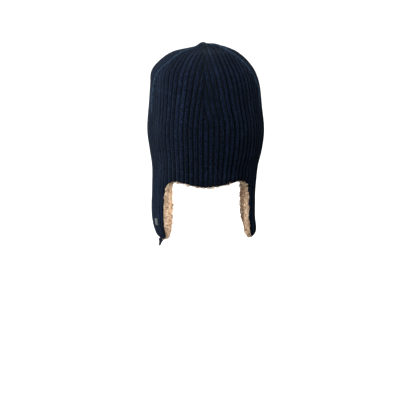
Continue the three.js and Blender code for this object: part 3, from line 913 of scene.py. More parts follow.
knit_normal = skin_normal(knit_down, knit_turn)
knit_place = knit_point + knit_normal * knit_height[..., None]
knit_values = np.concatenate([
    knit_place, knit_normal, knit_ribs[..., None],
    (knit_rib * WALES_PER_RIB)[..., None], (knit_down / COURSE)[..., None],
    knit_tone[..., None], knit_worn[..., None],
], -1).reshape(-1, 11)
knit_values, knit_faces = trimmed(
    knit_values, grid_faces(*knit_length.shape), knit_inside.ravel() - KNIT_WALL / 2)

top_height = ROUNDS[0, Z] + float(gathered(0.0, 0.0))
knit_values, knit_corners, knit_solid, knit_loop = capped(
    knit_values, knit_faces, [0, 0, top_height, 0, 0, 1, 0, 0, 0, TOP_SHADE_AND_TONE, 0],
    [(i, i + 1) for i in range(knit_length.shape[1] - 1)])
knit_thickness = KNIT_WALL + SCALLOP * knit_values[knit_loop, RELIEF]
knit_all, knit_roll, _ = rolled(
    knit_values[:, PLACE], knit_values[:, NORMAL], knit_loop, knit_thickness)
print("faces", len(knit_solid), "edge points", len(knit_loop), "roll faces", len(knit_roll))

# %% [markdown]
# One helper turns such arrays into a Blender object. It drops points that no face uses, scales the
# pattern's millimetres to metres, shades it smooth, and writes what the material reads: a map that
# counts stitches, and values at the points such as how high a place lies.

# %% Make an object from arrays
STITCH_MAP = "Stitches"


def make_object(name, places, faces, stitches=None, **values):
    """stitches has a pair of numbers for each corner of each face, values one number for each point."""
    sizes = np.array([len(face) for face in faces])
    corners = np.fromiter((c for face in faces for c in face), int, sizes.sum())
    used, renumbered = np.unique(corners, return_inverse=True)
    mesh = bpy.data.meshes.new(name)
    mesh.vertices.add(len(used))
    mesh.loops.add(len(corners))
    mesh.polygons.add(len(faces))
    mesh.vertices.foreach_set("co", (places[used] * MM).astype(np.float32).ravel())
    mesh.loops.foreach_set("vertex_index", renumbered.ravel().astype(np.int32))
    mesh.polygons.foreach_set("loop_start", (np.cumsum(sizes) - sizes).astype(np.int32))
    mesh.update(calc_edges=True)
    mesh.validate()
    mesh.polygons.foreach_set("use_smooth", np.ones(len(mesh.polygons), bool))
    if stitches is not None:
        layer = mesh.uv_layers.new(name=STITCH_MAP)
        layer.uv.foreach_set("vector", np.asarray(stitches, np.float32).ravel())
    for key, numbers in values.items():
        attribute = mesh.attributes.new(key, "FLOAT", "POINT")
        attribute.data.foreach_set("value", numbers[used].astype(np.float32))
    made = bpy.data.objects.new(name, mesh)
    bpy.context.scene.collection.objects.link(made)
    triangles = int((sizes - 2).sum())
    print(name, "triangles", triangles)
    return made


# %% The knit shell
ROLL_COURSES = 0.35

corner_uv = [knit_values[c[1], STITCHES] for face in knit_corners for c in face]
loop_uv = knit_values[knit_loop, STITCHES]
ring_count = ROLL_STEPS + 1
for k in range(ring_count):
    upper, lower = (loop_uv + (0, ROLL_COURSES * step) for step in (k, k + 1))
    after_upper, after_lower = np.roll(upper, -1, 0), np.roll(lower, -1, 0)
    corner_uv.append(np.stack([after_upper, upper, lower, after_lower], 1).reshape(-1, 2))
corner_uv = np.vstack([np.array(corner_uv[:-ring_count]), *corner_uv[-ring_count:]])
tone, worn = (
    np.concatenate([column, np.tile(column[knit_loop], ring_count)])
    for column in knit_values[:, SHADE_AND_HIGHLIGHT].T)
knit_shell = make_object(
    "knit_shell_cloth", knit_all, knit_solid + knit_roll, corner_uv, tone=tone, worn=worn)

# %% [markdown]
# The shader groups come next, because several cloths share them. Fuzz is the fine fibre noise that
# all of these yarns have. Knit stitches draws rows of V-shaped loops from the stitch map. Woven
# threads draws threads that pass over and under. Each gives a height for bump, and fuzz a shade too.

# %% Shared effects: fuzz, knit stitches, woven threads
FIBRE_SHARE = 0.6
PATCH_SHARE = 0.4
LEG_ROUNDING = 0.7
PAIR_ROUNDING = 0.5


def ridges(tree, value, count=1):
    """Rounded ridges, so many for each whole number that the value passes."""
    wave = maths(tree, "SINE", maths(tree, "MULTIPLY", value, count * math.pi))
    return maths(tree, "ABSOLUTE", wave)


fuzz, fuzz_in, fuzz_out = new_group(
    "Fibre fuzz",
    [("Place", "NodeSocketVector", None), ("Fibre size", "NodeSocketFloat", 0.0006),
     ("Patch size", "NodeSocketFloat", 0.02)],
    [("Height", "NodeSocketFloat"), ("Shade", "NodeSocketFloat")])
fibre_scale = maths(fuzz, "DIVIDE", 1.0, fuzz_in.outputs["Fibre size"])
patch_scale = maths(fuzz, "DIVIDE", 1.0, fuzz_in.outputs["Patch size"])
fibres = noise_of(fuzz, fuzz_in.outputs["Place"], fibre_scale, 3)
patches = noise_of(fuzz, fuzz_in.outputs["Place"], patch_scale, 2)
put(fuzz_out.inputs["Height"], fibres)
fibre_shade = maths(fuzz, "MULTIPLY", fibres, FIBRE_SHARE)
patch_shade = maths(fuzz, "MULTIPLY", patches, PATCH_SHARE)
put(fuzz_out.inputs["Shade"], maths(fuzz, "ADD", fibre_shade, patch_shade))

loops_group, loops_in, loops_out = new_group(
    "Knit stitches",
    [("Count", "NodeSocketVector", None), ("Slant", "NodeSocketFloat", 0.5)],
    [("Height", "NodeSocketFloat")])
split = loops_group.nodes.new("ShaderNodeSeparateXYZ")
put(split.inputs[0], loops_in.outputs["Count"])
across_wale = maths(loops_group, "FRACT", split.outputs["X"])
from_middle = maths(loops_group, "ABSOLUTE", maths(loops_group, "SUBTRACT", across_wale, 0.5))
out_from_middle = maths(loops_group, "MULTIPLY", from_middle, 2.0)
slanted = maths(loops_group, "MULTIPLY", out_from_middle, loops_in.outputs["Slant"])
course = maths(loops_group, "SUBTRACT", split.outputs["Y"], slanted)
rounded_legs = maths(loops_group, "POWER", ridges(loops_group, course), LEG_ROUNDING)
rounded_pair = maths(loops_group, "POWER", ridges(loops_group, split.outputs["X"], 2), PAIR_ROUNDING)
put(loops_out.inputs["Height"], maths(loops_group, "MULTIPLY", rounded_legs, rounded_pair))

weave, weave_in, weave_out = new_group(
    "Woven threads",
    [("Count", "NodeSocketVector", None)],
    [("Height", "NodeSocketFloat")])
thread = weave.nodes.new("ShaderNodeSeparateXYZ")
put(thread.inputs[0], weave_in.outputs["Count"])
warp = ridges(weave, thread.outputs["X"])
weft = ridges(weave, thread.outputs["Y"])
whole_threads = [maths(weave, "FLOOR", thread.outputs[axis]) for axis in ("X", "Y")]
square = maths(weave, "ADD", *whole_threads)
over = maths(weave, "MULTIPLY", maths(weave, "FRACT", maths(weave, "MULTIPLY", square, 0.5)), 2.0)
over_part = maths(weave, "MULTIPLY", over, warp)
under_part = maths(weave, "MULTIPLY", maths(weave, "SUBTRACT", 1.0, over), weft)
put(weave_out.inputs["Height"], maths(weave, "ADD", over_part, under_part))
print("groups", [group.name for group in bpy.data.node_groups])

# %% [markdown]
# Navy yarn looks almost black in its furrows and blue-grey where it is lit at a low angle. The dark in
# the furrows is painted shade, read from the relief that each point carries, and the pale rim comes
# from a little sheen, which is what loose fibres do to light. Dyed yarn hardly shines, so there is next
# to no specular light. The stitches are bump and painted shade, sized by the stitch map.

# %% Knit material
KNIT_DARK = (0.0004, 0.0008, 0.0018, 1)
KNIT_LIT = (0.016, 0.0305, 0.077, 1)
KNIT_SEAM_HIGHLIGHT = (0.024, 0.041, 0.066, 1)
KNIT_SHEEN_TINT = (0.45, 0.6, 0.8, 1)
# Tufts are small patches of yarn, about this many metres wide, that differ in how light they are.
TUFT_SIZE = 0.0028
TUFT_CONTRAST = 4.4
TUFT_OFFSET = -1.2
TUFT_LEAST = 0.15
LOOP_LIGHT = 0.95
LOOP_BASE = 0.15
FIBRE_BASE = 0.4
SHADE_AND_TONE_POWER = 2.0
LIT_STRENGTH = 0.3
SEAM_HIGHLIGHT_GAIN = 0.5
SEAM_HIGHLIGHT_BASE = 0.25


def placed_group(tree, group, **values):
    """A node group in a material, with its inputs set or linked."""
    node = tree.nodes.new("ShaderNodeGroup")
    node.node_tree = group
    put_all(node, **values)
    return node.outputs


def stitch_count(tree):
    """The stitch map, which counts stitches or threads across and along."""
    source = tree.nodes.new("ShaderNodeUVMap")
    source.uv_map = STITCH_MAP
    return source.outputs["UV"]


def value_at_points(tree, name):
    """A number that the mesh carries at its points."""
    node = tree.nodes.new("ShaderNodeAttribute")
    node.attribute_name = name
    return node.outputs["Fac"]


def add_bump(tree, shader, height, distance, strength, before=None):
    """Bumps a shader, on top of the bump before, and gives the bumped normal."""
    bump = tree.nodes.new("ShaderNodeBump")
    put_all(bump, Distance=distance, Strength=strength, Height=height)
    if before is not None:
        put(bump.inputs["Normal"], before)
    put(shader.inputs["Normal"], bump.outputs["Normal"])
    return bump.outputs["Normal"]


def knit_material(name):
    """Navy yarn: painted shade in the furrows, lit on the ribs, and a painted highlight along the raised
    seams.
    """
    material, shader = plain_material(name, KNIT_LIT[:3], roughness=0.9)
    tree = material.node_tree
    stitch = placed_group(tree, loops_group, Count=stitch_count(tree), Slant=0.5)["Height"]
    fibre = placed_group(tree, fuzz, Place=own_place(tree), Fibre_size=0.0007, Patch_size=0.025)
    tuft = noise_of(tree, own_place(tree), 1 / TUFT_SIZE, 1)
    tufted = maths(tree, "MULTIPLY_ADD", tuft, TUFT_CONTRAST, TUFT_OFFSET)
    uneven = maths(tree, "MAXIMUM", tufted, TUFT_LEAST)
    raised = maths(tree, "POWER", value_at_points(tree, "tone"), SHADE_AND_TONE_POWER)
    looped = maths(tree, "MULTIPLY", maths(tree, "MULTIPLY_ADD", stitch, LOOP_LIGHT, LOOP_BASE), uneven)
    fibrous = maths(tree, "MULTIPLY", maths(tree, "ADD", FIBRE_BASE, fibre["Shade"]), looped)
    shade = maths(tree, "MULTIPLY", maths(tree, "MULTIPLY", raised, fibrous), LIT_STRENGTH)
    # The raised seams get a painted highlight.
    pale = maths(tree, "MULTIPLY_ADD", fibrous, SEAM_HIGHLIGHT_GAIN, SEAM_HIGHLIGHT_BASE)
    worn = maths(tree, "MULTIPLY", value_at_points(tree, "worn"), pale)
    put(shader.inputs["Base Color"], mixed(tree, worn, mixed(tree, shade, KNIT_DARK, KNIT_LIT), KNIT_SEAM_HIGHLIGHT))
    put_all(shader, Sheen_Weight=0.05, Sheen_Roughness=0.45, Sheen_Tint=KNIT_SHEEN_TINT)
    put_all(shader, Specular_IOR_Level=0.02)
    first = add_bump(tree, shader, stitch, distance=0.0007, strength=0.9)
    add_bump(tree, shader, fibre["Height"], distance=0.0003, strength=0.5, before=first)
    return material


navy_knit = knit_material("navy rib knit")
knit_shell.data.materials.append(navy_knit)
print("material", navy_knit.name)

# %% [markdown]
# The lining is a cloth with a deep curly pile. Its backing lies against the knit, and the pile fills
# the rest of its thickness. The lumpy body of the pile is one surface, pushed up in small round
# cells, and its edge rolls out under the knit so that a thin pale line shows all round the hem. It
# follows the knit where that curls in at the hem.

# %% Pile body
PIECE_GAP = 0.3
PILE_WALL = 6.5
LINING_SHOWS = 1.5
PILE_COLUMNS = 320
PILE_ROWS = 140
PILE_BODY_DEPTH = 8.4
PILE_LUMP = 1.4
PILE_CELL = 4.6
PILE_ROW_EASE = 1.05
LUMP_MIDDLE = 0.4
LUMP_DRIFT = 0.35
LUMP_DRIFT_SCALE = 0.9
LUMP_REACH = 0.85
LUMP_SEED = 7
# The pile takes up this share of how far the knit curls in at its hem.
FOLLOWS_KNIT = 0.8
# The body carries a small share of the tip colour, darkest in the gaps between its cells: painted shade under
# the curls.
BODY_LIGHTNESS = 0.3
TOP_LUMP = 0.5

pile_lengths = BACK_LENGTH - GIRTH / 2 + GIRTH * np.arange(PILE_COLUMNS + 1) / PILE_COLUMNS
pile_downs = WALL_LENGTH * (np.arange(1, PILE_ROWS + 1) / PILE_ROWS) ** PILE_ROW_EASE
pile_length, pile_down = np.meshgrid(pile_lengths, pile_downs)
pile_z = round_at(pile_down)[..., Z]
pile_turn = turn_at(pile_length)
pile_normal = skin_normal(pile_down, pile_turn)
pile_back = KNIT_WALL + PIECE_GAP
pile_inside = distance_inside(pile_length, pile_z)
pile_depth = PILE_BODY_DEPTH + edge_curl(pile_inside) * FOLLOWS_KNIT
pile_place = skin_point(pile_down, pile_turn) - pile_normal * pile_depth[..., None]


def lumps(places, cell):
    """Round cells with narrow gaps between them, from 0 to 1. The seed makes every run the same."""
    noise.seed_set(LUMP_SEED)
    heights = np.empty(len(places))
    for i, place in enumerate(places / cell):
        here = Vector(place) + LUMP_DRIFT * noise.noise_vector(Vector(place) * LUMP_DRIFT_SCALE)
        heights[i] = max(0.0, 1 - (noise.voronoi(here)[0][0] / LUMP_REACH) ** 2)
    return heights


pile_lump = lumps(pile_place.reshape(-1, 3), PILE_CELL).reshape(pile_z.shape)
pile_lump[:, -1] = pile_lump[:, 0]
pile_place = pile_place - pile_normal * (PILE_LUMP * (pile_lump - LUMP_MIDDLE))[..., None]
pile_values = np.concatenate([pile_place, -pile_normal, pile_lump[..., None]], -1).reshape(-1, 7)
pile_grid = grid_faces(*pile_z.shape)[:, ::-1]
pile_values, pile_faces = trimmed(pile_values, pile_grid, pile_inside.ravel() + LINING_SHOWS - PILE_WALL / 2)
pile_values, _, pile_solid, pile_loop = capped(
    pile_values, pile_faces, [0, 0, ROUNDS[0, Z] - PILE_BODY_DEPTH, 0, 0, -1, TOP_LUMP],
    [(i + 1, i) for i in range(PILE_COLUMNS)])
pile_all, pile_roll, pile_outward = rolled(
    pile_values[:, PLACE], pile_values[:, NORMAL], pile_loop,
    np.full(len(pile_loop), PILE_BODY_DEPTH - pile_back))
pile_relief = pile_values[:, RELIEF]
pile_tip = np.concatenate([pile_relief, np.tile(pile_relief[pile_loop], ROLL_STEPS + 1)])
pile_body = make_object("pile_body", pile_all, pile_solid + pile_roll, tip=pile_tip * BODY_LIGHTNESS)

# %% [markdown]
# Close up, the pile is a crowd of small curls, each a lock that winds up and over. A few curl shapes
# are made once, as thin tubes along a short spiral, and copied all over the visible pile with their
# own size, lean and spin. Copies are joined into one mesh for each part, which Blender draws fast.
# Some locks come out darker than others.

# %% Curl shapes
CURL_KINDS = 4
CURL_STEPS = 6
CURL_SIDES = 4
# The least and the most of what each kind of curl is given by chance.
CURL_TURNS = (0.8, 1.35)
CURL_RADII = (1.3, 1.75)
CURL_HEIGHTS = (1.7, 2.5)
CURL_THICKNESSES = (0.62, 0.8)
CURL_ROOT_REACH = 0.35
CURL_SWELL = 0.9
CURL_ARCH = 1.9
CURL_TAPER = 0.45
CURL_TIP = 0.7
# The rings of a curl are set out from this direction.
ASIDE = (0.3, 0.2, 1.0)


def tube_faces(rings, sides):
    """The faces of a tube whose rings of points follow each other."""
    faces = []
    for k in range(rings - 1):
        for s in range(sides):
            a, b = k * sides + s, k * sides + (s + 1) % sides
            faces.append([a, b, b + sides, a + sides])
    return faces


def curl_shape(dice, steps, sides):
    """A tube along a short spiral: its points, its faces, and how near the tip each point is."""
    turns, radius = dice.uniform(*CURL_TURNS), dice.uniform(*CURL_RADII)
    height, thickness = dice.uniform(*CURL_HEIGHTS), dice.uniform(*CURL_THICKNESSES)
    t = np.linspace(0, 1, steps)
    angle = dice.choice((-1, 1)) * 2 * math.pi * turns * t
    reach = radius * between(CURL_ROOT_REACH, 1, np.sin(math.pi * np.minimum(t * CURL_SWELL, 1)))
    path = np.stack([reach * np.cos(angle), reach * np.sin(angle), height * np.sin(t * CURL_ARCH)], -1)
    along = unit(np.gradient(path, axis=0))
    side = unit(np.cross(along, ASIDE))
    other = np.cross(along, side)
    thick = thickness * (1 - CURL_TAPER * t**2)
    turn = np.arange(sides) * 2 * math.pi / sides
    ring = side[:, None] * np.cos(turn)[None, :, None] + other[:, None] * np.sin(turn)[None, :, None]
    points = (path[:, None] + ring * thick[:, None, None]).reshape(-1, 3)
    tip_point = path[-1] + along[-1] * thick[-1] * CURL_TIP
    last = (steps - 1) * sides
    end = [(last + s, last + (s + 1) % sides, len(points)) for s in range(sides)]
    near_tip = np.append(np.repeat(t, sides), 1.0)
    return np.vstack([points, tip_point]), tube_faces(steps, sides), end, near_tip


dice = np.random.default_rng(5)
CURLS = [curl_shape(dice, CURL_STEPS, CURL_SIDES) for _ in range(CURL_KINDS)]
print("points of a curl", len(CURLS[0][0]))

# %% Copies of the curls
CURL_LEAN = 0.42
CURL_SIZES = (0.8, 1.25)
# How light the tips of dark, middling and light curls are, and the share of each.
CURL_LIGHTNESS = (0.1, 0.5, 1.0)
CURL_SHARES = (0.25, 0.25, 0.5)
ROW_SPACING = 0.87
SCATTER = 0.22
FEWEST_IN_ROW = 3
NEAREST_TO_TOP = 0.5
# The reach of the widest round to all four sides, added up.
WIDEST_REACH = 380


def curls_at(name, places, directions, seed, size):
    """One object made of a curl at each place, standing along its direction with a random lean."""
    dice = np.random.default_rng(seed)
    kind = dice.integers(0, CURL_KINDS, len(places))
    lean = dice.normal(0, CURL_LEAN, (len(places), 3))
    up = unit(directions + lean)
    side = unit(np.cross(up, dice.normal(0, 1, (len(places), 3))))
    other = np.cross(up, side)
    scale = size * dice.uniform(*CURL_SIZES, len(places))
    lightness = dice.choice(CURL_LIGHTNESS, len(places), p=CURL_SHARES)
    all_places, all_faces, all_tips, start = [], [], [], 0
    for k, (points, tube, end, tips) in enumerate(CURLS):
        mine = np.flatnonzero(kind == k)
        base = np.stack([side[mine], other[mine], up[mine]], 1) * scale[mine, None, None]
        moved = points[None] @ base + places[mine, None]
        all_places.append(moved.reshape(-1, 3))
        all_tips.append((tips[None] * lightness[mine, None]).ravel())
        starts = start + np.arange(len(mine))[:, None, None] * len(points)
        all_faces += (np.array(tube)[None] + starts).reshape(-1, 4).tolist()
        all_faces += (np.array(end)[None] + starts).reshape(-1, 3).tolist()
        start += len(mine) * len(points)
    return make_object(name, np.vstack(all_places), all_faces, tip=np.concatenate(all_tips))


def scattered(spacing, seed, low_down, high_down):
    """Places all over the wall, about evenly spaced: length and distance down."""
    dice = np.random.default_rng(seed)
    lengths, downs = [], []
    for down in np.arange(low_down, high_down, spacing * ROW_SPACING):
        here = round_at(np.array([down]))[0]
        share = (here[LEFT] + here[RIGHT] + here[BACK] + here[FRONT]) / WIDEST_REACH
        count = max(int(GIRTH * share / spacing), FEWEST_IN_ROW)
        row = (np.arange(count) + dice.uniform(0, 1)) / count + dice.normal(0, SCATTER / count, count)
        lengths.append(BACK_LENGTH + GIRTH * (row - 0.5))
        downs.append(down + dice.normal(0, spacing * SCATTER, count))
    return np.concatenate(lengths), np.clip(np.concatenate(downs), NEAREST_TO_TOP, WALL_LENGTH)


# Below this height the lining shows on the flaps, so its curls are finer and stand closer together.
FLAP_TOP_Z = -150
FLAP_SPACING = 2.55
FLAP_CURL_SIZE = 0.82
CROWN_SPACING = 4.0
CROWN_CURL_SIZE = 1.25
CROWN_START = 3.0
CURL_ROOT_DEPTH = 7.7
CURL_EDGE = 1.2

curl_pieces = []
flap_top_down = float(down_at(FLAP_TOP_Z))
for part, spacing, low, high, size, seed in (
        ("flap", FLAP_SPACING, flap_top_down, WALL_LENGTH, FLAP_CURL_SIZE, 8),
        ("crown", CROWN_SPACING, CROWN_START, flap_top_down, CROWN_CURL_SIZE, 9)):
    length, down = scattered(spacing, seed, low, high)
    inside = distance_inside(length, round_at(down)[:, Z])
    turn = turn_at(length)
    normal = skin_normal(down, turn)
    place = skin_point(down, turn) - normal * (CURL_ROOT_DEPTH + FOLLOWS_KNIT * edge_curl(inside))[:, None]
    for side, chosen in (("left", np.sin(turn) < 0), ("right", np.sin(turn) >= 0)):
        kept = chosen & (inside > CURL_EDGE - LINING_SHOWS)
        name = f"pile_curls_{part}_{side}"
        curl_pieces.append(curls_at(name, place[kept], -normal[kept], seed, size))

# %% Curls along the hem
HEM_CURL_STEP = 2.5
HEM_CURL_SIZE = 0.8
HEM_CURL_ANGLES = (8, 52, 96, 140)
HEM_BUMP_STEP = 4.5
HEM_BUMPS = (-1.4, 1.2)


def along_line(stops, travel, values):
    """What the values along a line are at some stops on it."""
    return np.stack([np.interp(stops, travel, column) for column in values.T], -1)


hem_places = pile_values[pile_loop, PLACE]
hem_values = (hem_places, pile_values[pile_loop, NORMAL], pile_outward)
hem_travel = travelled(hem_places)
hem_radius = (PILE_BODY_DEPTH - pile_back) / 2
dice = np.random.default_rng(61)
bumps_at = np.arange(0, hem_travel[-1] + HEM_BUMP_STEP, HEM_BUMP_STEP)
hem_bumps = dice.uniform(*HEM_BUMPS, len(bumps_at))
edge_places, edge_directions = [], []
for angle in HEM_CURL_ANGLES:
    stops = np.arange(0, hem_travel[-1], HEM_CURL_STEP)
    stops = stops + dice.uniform(-1, 1, len(stops))
    lean = math.radians(angle)
    place, normal, outward = (along_line(stops, hem_travel, values) for values in hem_values)
    direction = unit(outward * math.sin(lean) + normal * math.cos(lean))
    reach = (hem_radius + np.interp(stops, bumps_at, hem_bumps))[:, None]
    edge_places.append(place - normal * hem_radius + direction * reach)
    edge_directions.append(direction)
curl_pieces.append(curls_at(
    "pile_curls_hem", np.vstack(edge_places), np.vstack(edge_directions), 62, HEM_CURL_SIZE))

# %% [markdown]
# The pile is tan where light falls on the tips of its curls and brown down between them, and that
# brown is painted shade. Each point knows how near a tip it is, so one colour runs from the painted
# shade at the root to the tan tip. A little noise keeps the curls from being alike, and sheen softens them.

# %% Pile material
PILE_ROOT_SHADE = (0.25, 0.125, 0.055, 1)
PILE_TIP = (0.93, 0.76, 0.57, 1)
PILE_SHEEN_TINT = (1, 0.85, 0.68, 1)
TIP_POWER = 0.75
TIP_BASE = 0.6
TIP_FIBRE = 0.8


def pile_material():
    """Tan pile: painted shade brown at the roots and pale at the tips of its curls."""
    material, shader = plain_material("tan curly pile", PILE_TIP[:3], roughness=0.95)
    tree = material.node_tree
    fibre = placed_group(tree, fuzz, Place=own_place(tree), Fibre_size=0.0008, Patch_size=0.012)
    near_tip = maths(tree, "POWER", value_at_points(tree, "tip"), TIP_POWER)
    fibrous = maths(tree, "ADD", TIP_BASE, maths(tree, "MULTIPLY", fibre["Shade"], TIP_FIBRE))
    share = maths(tree, "MULTIPLY", near_tip, fibrous)
    put(shader.inputs["Base Color"], mixed(tree, share, PILE_ROOT_SHADE, PILE_TIP))
    put_all(shader, Sheen_Weight=0.25, Sheen_Tint=PILE_SHEEN_TINT, Specular_IOR_Level=0.2)
    add_bump(tree, shader, fibre["Height"], distance=0.0005, strength=0.6)
    return material


tan_pile = pile_material()
for piece in (pile_body, *curl_pieces):
    piece.data.materials.append(tan_pile)
print("material", tan_pile.name)

# %% [markdown]
# A small plain label is sewn flat on the left flap. It is a stiff woven tape, so it bridges the ribs
# instead of sinking into them, and bulges a little between the two rows of stitches that hold it.

# %% Label
LABEL_WIDTH = 10.2
LABEL_HEIGHT = 10
LABEL_THICKNESS = 0.8
LABEL_TURN = -61
LABEL_MIDDLE_Z = -251
LABEL_STEPS = (32, 24)
LABEL_THREADS = 0.45
LABEL_ROUNDING = 14
LABEL_BULGE = 0.35
LABEL_EDGE = 0.25


def label_grid(height):
    """A sheet at a share of the label's thickness, 0 for its back, with its own places across it."""
    u, v = np.meshgrid(np.linspace(-1, 1, LABEL_STEPS[0] + 1), np.linspace(-1, 1, LABEL_STEPS[1] + 1))
    length = float(length_at(LABEL_TURN)) + u * LABEL_WIDTH / 2
    down = down_at(LABEL_MIDDLE_Z - v * LABEL_HEIGHT / 2)
    turn = turn_at(length)
    round_edge = np.sqrt(np.clip(1 - np.maximum(np.abs(u), np.abs(v)) ** LABEL_ROUNDING, 0, 1))
    bulge = LABEL_BULGE * (1 - u**2) * (1 - v**2)
    lift = PIECE_GAP + height * LABEL_THICKNESS * between(LABEL_EDGE, 1, round_edge) + bulge * height
    return skin_point(down, turn) + skin_normal(down, turn) * lift[..., None], u, v


label_front, label_u, label_v = label_grid(1.0)
label_back, _, _ = label_grid(0.0)
label_shape = label_front.shape[:2]
label_count = label_u.size
front_faces = grid_faces(*label_shape).tolist()
back_faces = [[c + label_count for c in face[::-1]] for face in front_faces]
label_faces = front_faces + back_faces
label_edge = edge_loop(front_faces)
for a, b in zip(label_edge, label_edge[1:] + label_edge[:1]):
    label_faces.append([b, a, a + label_count, b + label_count])
label_places = np.vstack([label_front.reshape(-1, 3), label_back.reshape(-1, 3)])
thread_x, thread_y = LABEL_WIDTH / LABEL_THREADS / 2, LABEL_HEIGHT / LABEL_THREADS / 2
label_uv_all = np.tile(np.stack([label_u.ravel() * thread_x, label_v.ravel() * thread_y], -1), (2, 1))
label_uv = label_uv_all[[c for face in label_faces for c in face]]
label = make_object("label_tab_cloth", label_places, label_faces, label_uv)

# %% Stitches as short threads
STITCH_SIDES = 6
# Each row has how far along a stitch it is, and how far the thread stands up, in its own thickness.
STITCH_ARCH = np.array([(0, -0.5), (0.12, 0.35), (0.35, 0.85), (0.65, 0.85), (0.88, 0.35), (1, -0.5)])


def thread_stitches(name, starts, ends, normals, thickness):
    """Short rounded threads that arch from each start to each end."""
    t, arch = STITCH_ARCH.T
    tube = np.array(tube_faces(len(t), STITCH_SIDES))
    places, faces = [], []
    for start, end, normal in zip(starts, ends, normals):
        path = start + (end - start) * t[:, None] + normal * (arch * thickness)[:, None]
        along = unit(end - start)
        side = np.cross(normal, along)
        turn = np.arange(STITCH_SIDES) * 2 * math.pi / STITCH_SIDES
        ring = side * np.cos(turn)[:, None] + normal * np.sin(turn)[:, None]
        first = len(places) * len(t) * STITCH_SIDES
        places.append((path[:, None] + ring[None] * thickness / 2).reshape(-1, 3))
        faces += (tube + first).tolist()
        last = first + (len(t) - 1) * STITCH_SIDES
        faces.append([first + s for s in range(STITCH_SIDES)][::-1])
        faces.append([last + s for s in range(STITCH_SIDES)])
    return make_object(name, np.vstack(places), faces)


LABEL_STITCH = 1.5
LABEL_STITCH_STEP = 2.2
LABEL_STITCH_START = 0.6
LABEL_STITCH_COLUMN = 3
LABEL_THREAD = 0.55
label_normals = unit(np.cross(np.gradient(label_front, axis=0), np.gradient(label_front, axis=1)))
stitch_starts, stitch_ends, stitch_normals = [], [], []
for column in (LABEL_STITCH_COLUMN, LABEL_STEPS[0] - LABEL_STITCH_COLUMN):
    line = label_front[:, column]
    travel = travelled(line)
    for begin in np.arange(LABEL_STITCH_START, travel[-1] - LABEL_STITCH, LABEL_STITCH_STEP):
        stitch_starts.append(along_line(begin, travel, line))
        stitch_ends.append(along_line(begin + LABEL_STITCH, travel, line))
        stitch_normals.append(label_normals[LABEL_STEPS[1] // 2, column])
label_out = skin_normal(np.array([down_at(LABEL_MIDDLE_Z)]), np.radians([LABEL_TURN]))[0]
outwards = np.sign(np.dot(stitch_normals[0], label_out))
label_stitches = thread_stitches(
    "label_stitches", stitch_starts, stitch_ends, [outwards * n for n in stitch_normals], LABEL_THREAD)

# %% [markdown]
# The strap hangs from the bottom edge of the left flap. It is a flat double band of finer knit, so it
# keeps straight sides, has a round free end, and leans out a little as it hangs.

# %% Strap
STRAP_TURN = -75
STRAP_WIDTH = 20
STRAP_THICKNESS = 2.4
STRAP_LENGTH = 8.7
STRAP_TWIST = 13
STRAP_SWAY = 2.6
STRAP_SWAY_POWER = 1.5
STRAP_TWISTS_BELOW = 4
STRAP_TUCK = 2.4
STRAP_ROWS = 24
STRAP_END_ROWS = 16
STRAP_END_SHARE = 0.995
STRAP_SIDES = 44
STRAP_EDGE_ROUNDING = 0.45
STRAP_FACE_ROUNDING = 0.7
STRAP_SEAM_DEPTH = 0.3
STRAP_SEAM_INSET = 2.6
STRAP_SEAM_HALF = 0.7
STRAP_SEAM_FROM = 4
STRAP_COURSE = 1.7
STRAP_WALE = 1.9
STRAP_TONE = 0.62

strap_middle = abs(float(length_at(STRAP_TURN)) - BACK_LENGTH)
# The bottom of the flap is the fourth to the sixth curve of its half of the hem.
flap_bottom = left_half[3 * HEM_POINTS + 1:6 * HEM_POINTS + 1]


def hem_height(across):
    """The height of the left flap's bottom edge, this far across from the strap's middle."""
    return np.interp(strap_middle - across, flap_bottom[:, 0], flap_bottom[:, 1])


strap_top_z = float(hem_height(0.0)) + STRAP_TUCK
strap_down = np.array([down_at(strap_top_z)])
strap_out = unit(skin_normal(strap_down, np.radians([STRAP_TURN]))[0] * (1, 1, 0))
strap_top = skin_point(strap_down, np.radians([STRAP_TURN]))[0] - strap_out * (KNIT_WALL / 2 + EDGE_CURL)
strap_half = STRAP_WIDTH / 2
strap_straight = STRAP_LENGTH + STRAP_TUCK - strap_half
strap_rounding = np.sin(np.linspace(0, math.pi / 2, STRAP_END_ROWS + 1))[:-1]
strap_heights = np.concatenate([
    np.linspace(0, strap_straight, STRAP_ROWS, endpoint=False),
    strap_straight + strap_half * strap_rounding * STRAP_END_SHARE,
])
strap_angles = np.linspace(0, 2 * math.pi, STRAP_SIDES, endpoint=False)
strap_across = np.sign(np.cos(strap_angles)) * np.abs(np.cos(strap_angles)) ** STRAP_EDGE_ROUNDING
strap_through = np.sign(np.sin(strap_angles)) * np.abs(np.sin(strap_angles)) ** STRAP_FACE_ROUNDING
strap_places = []
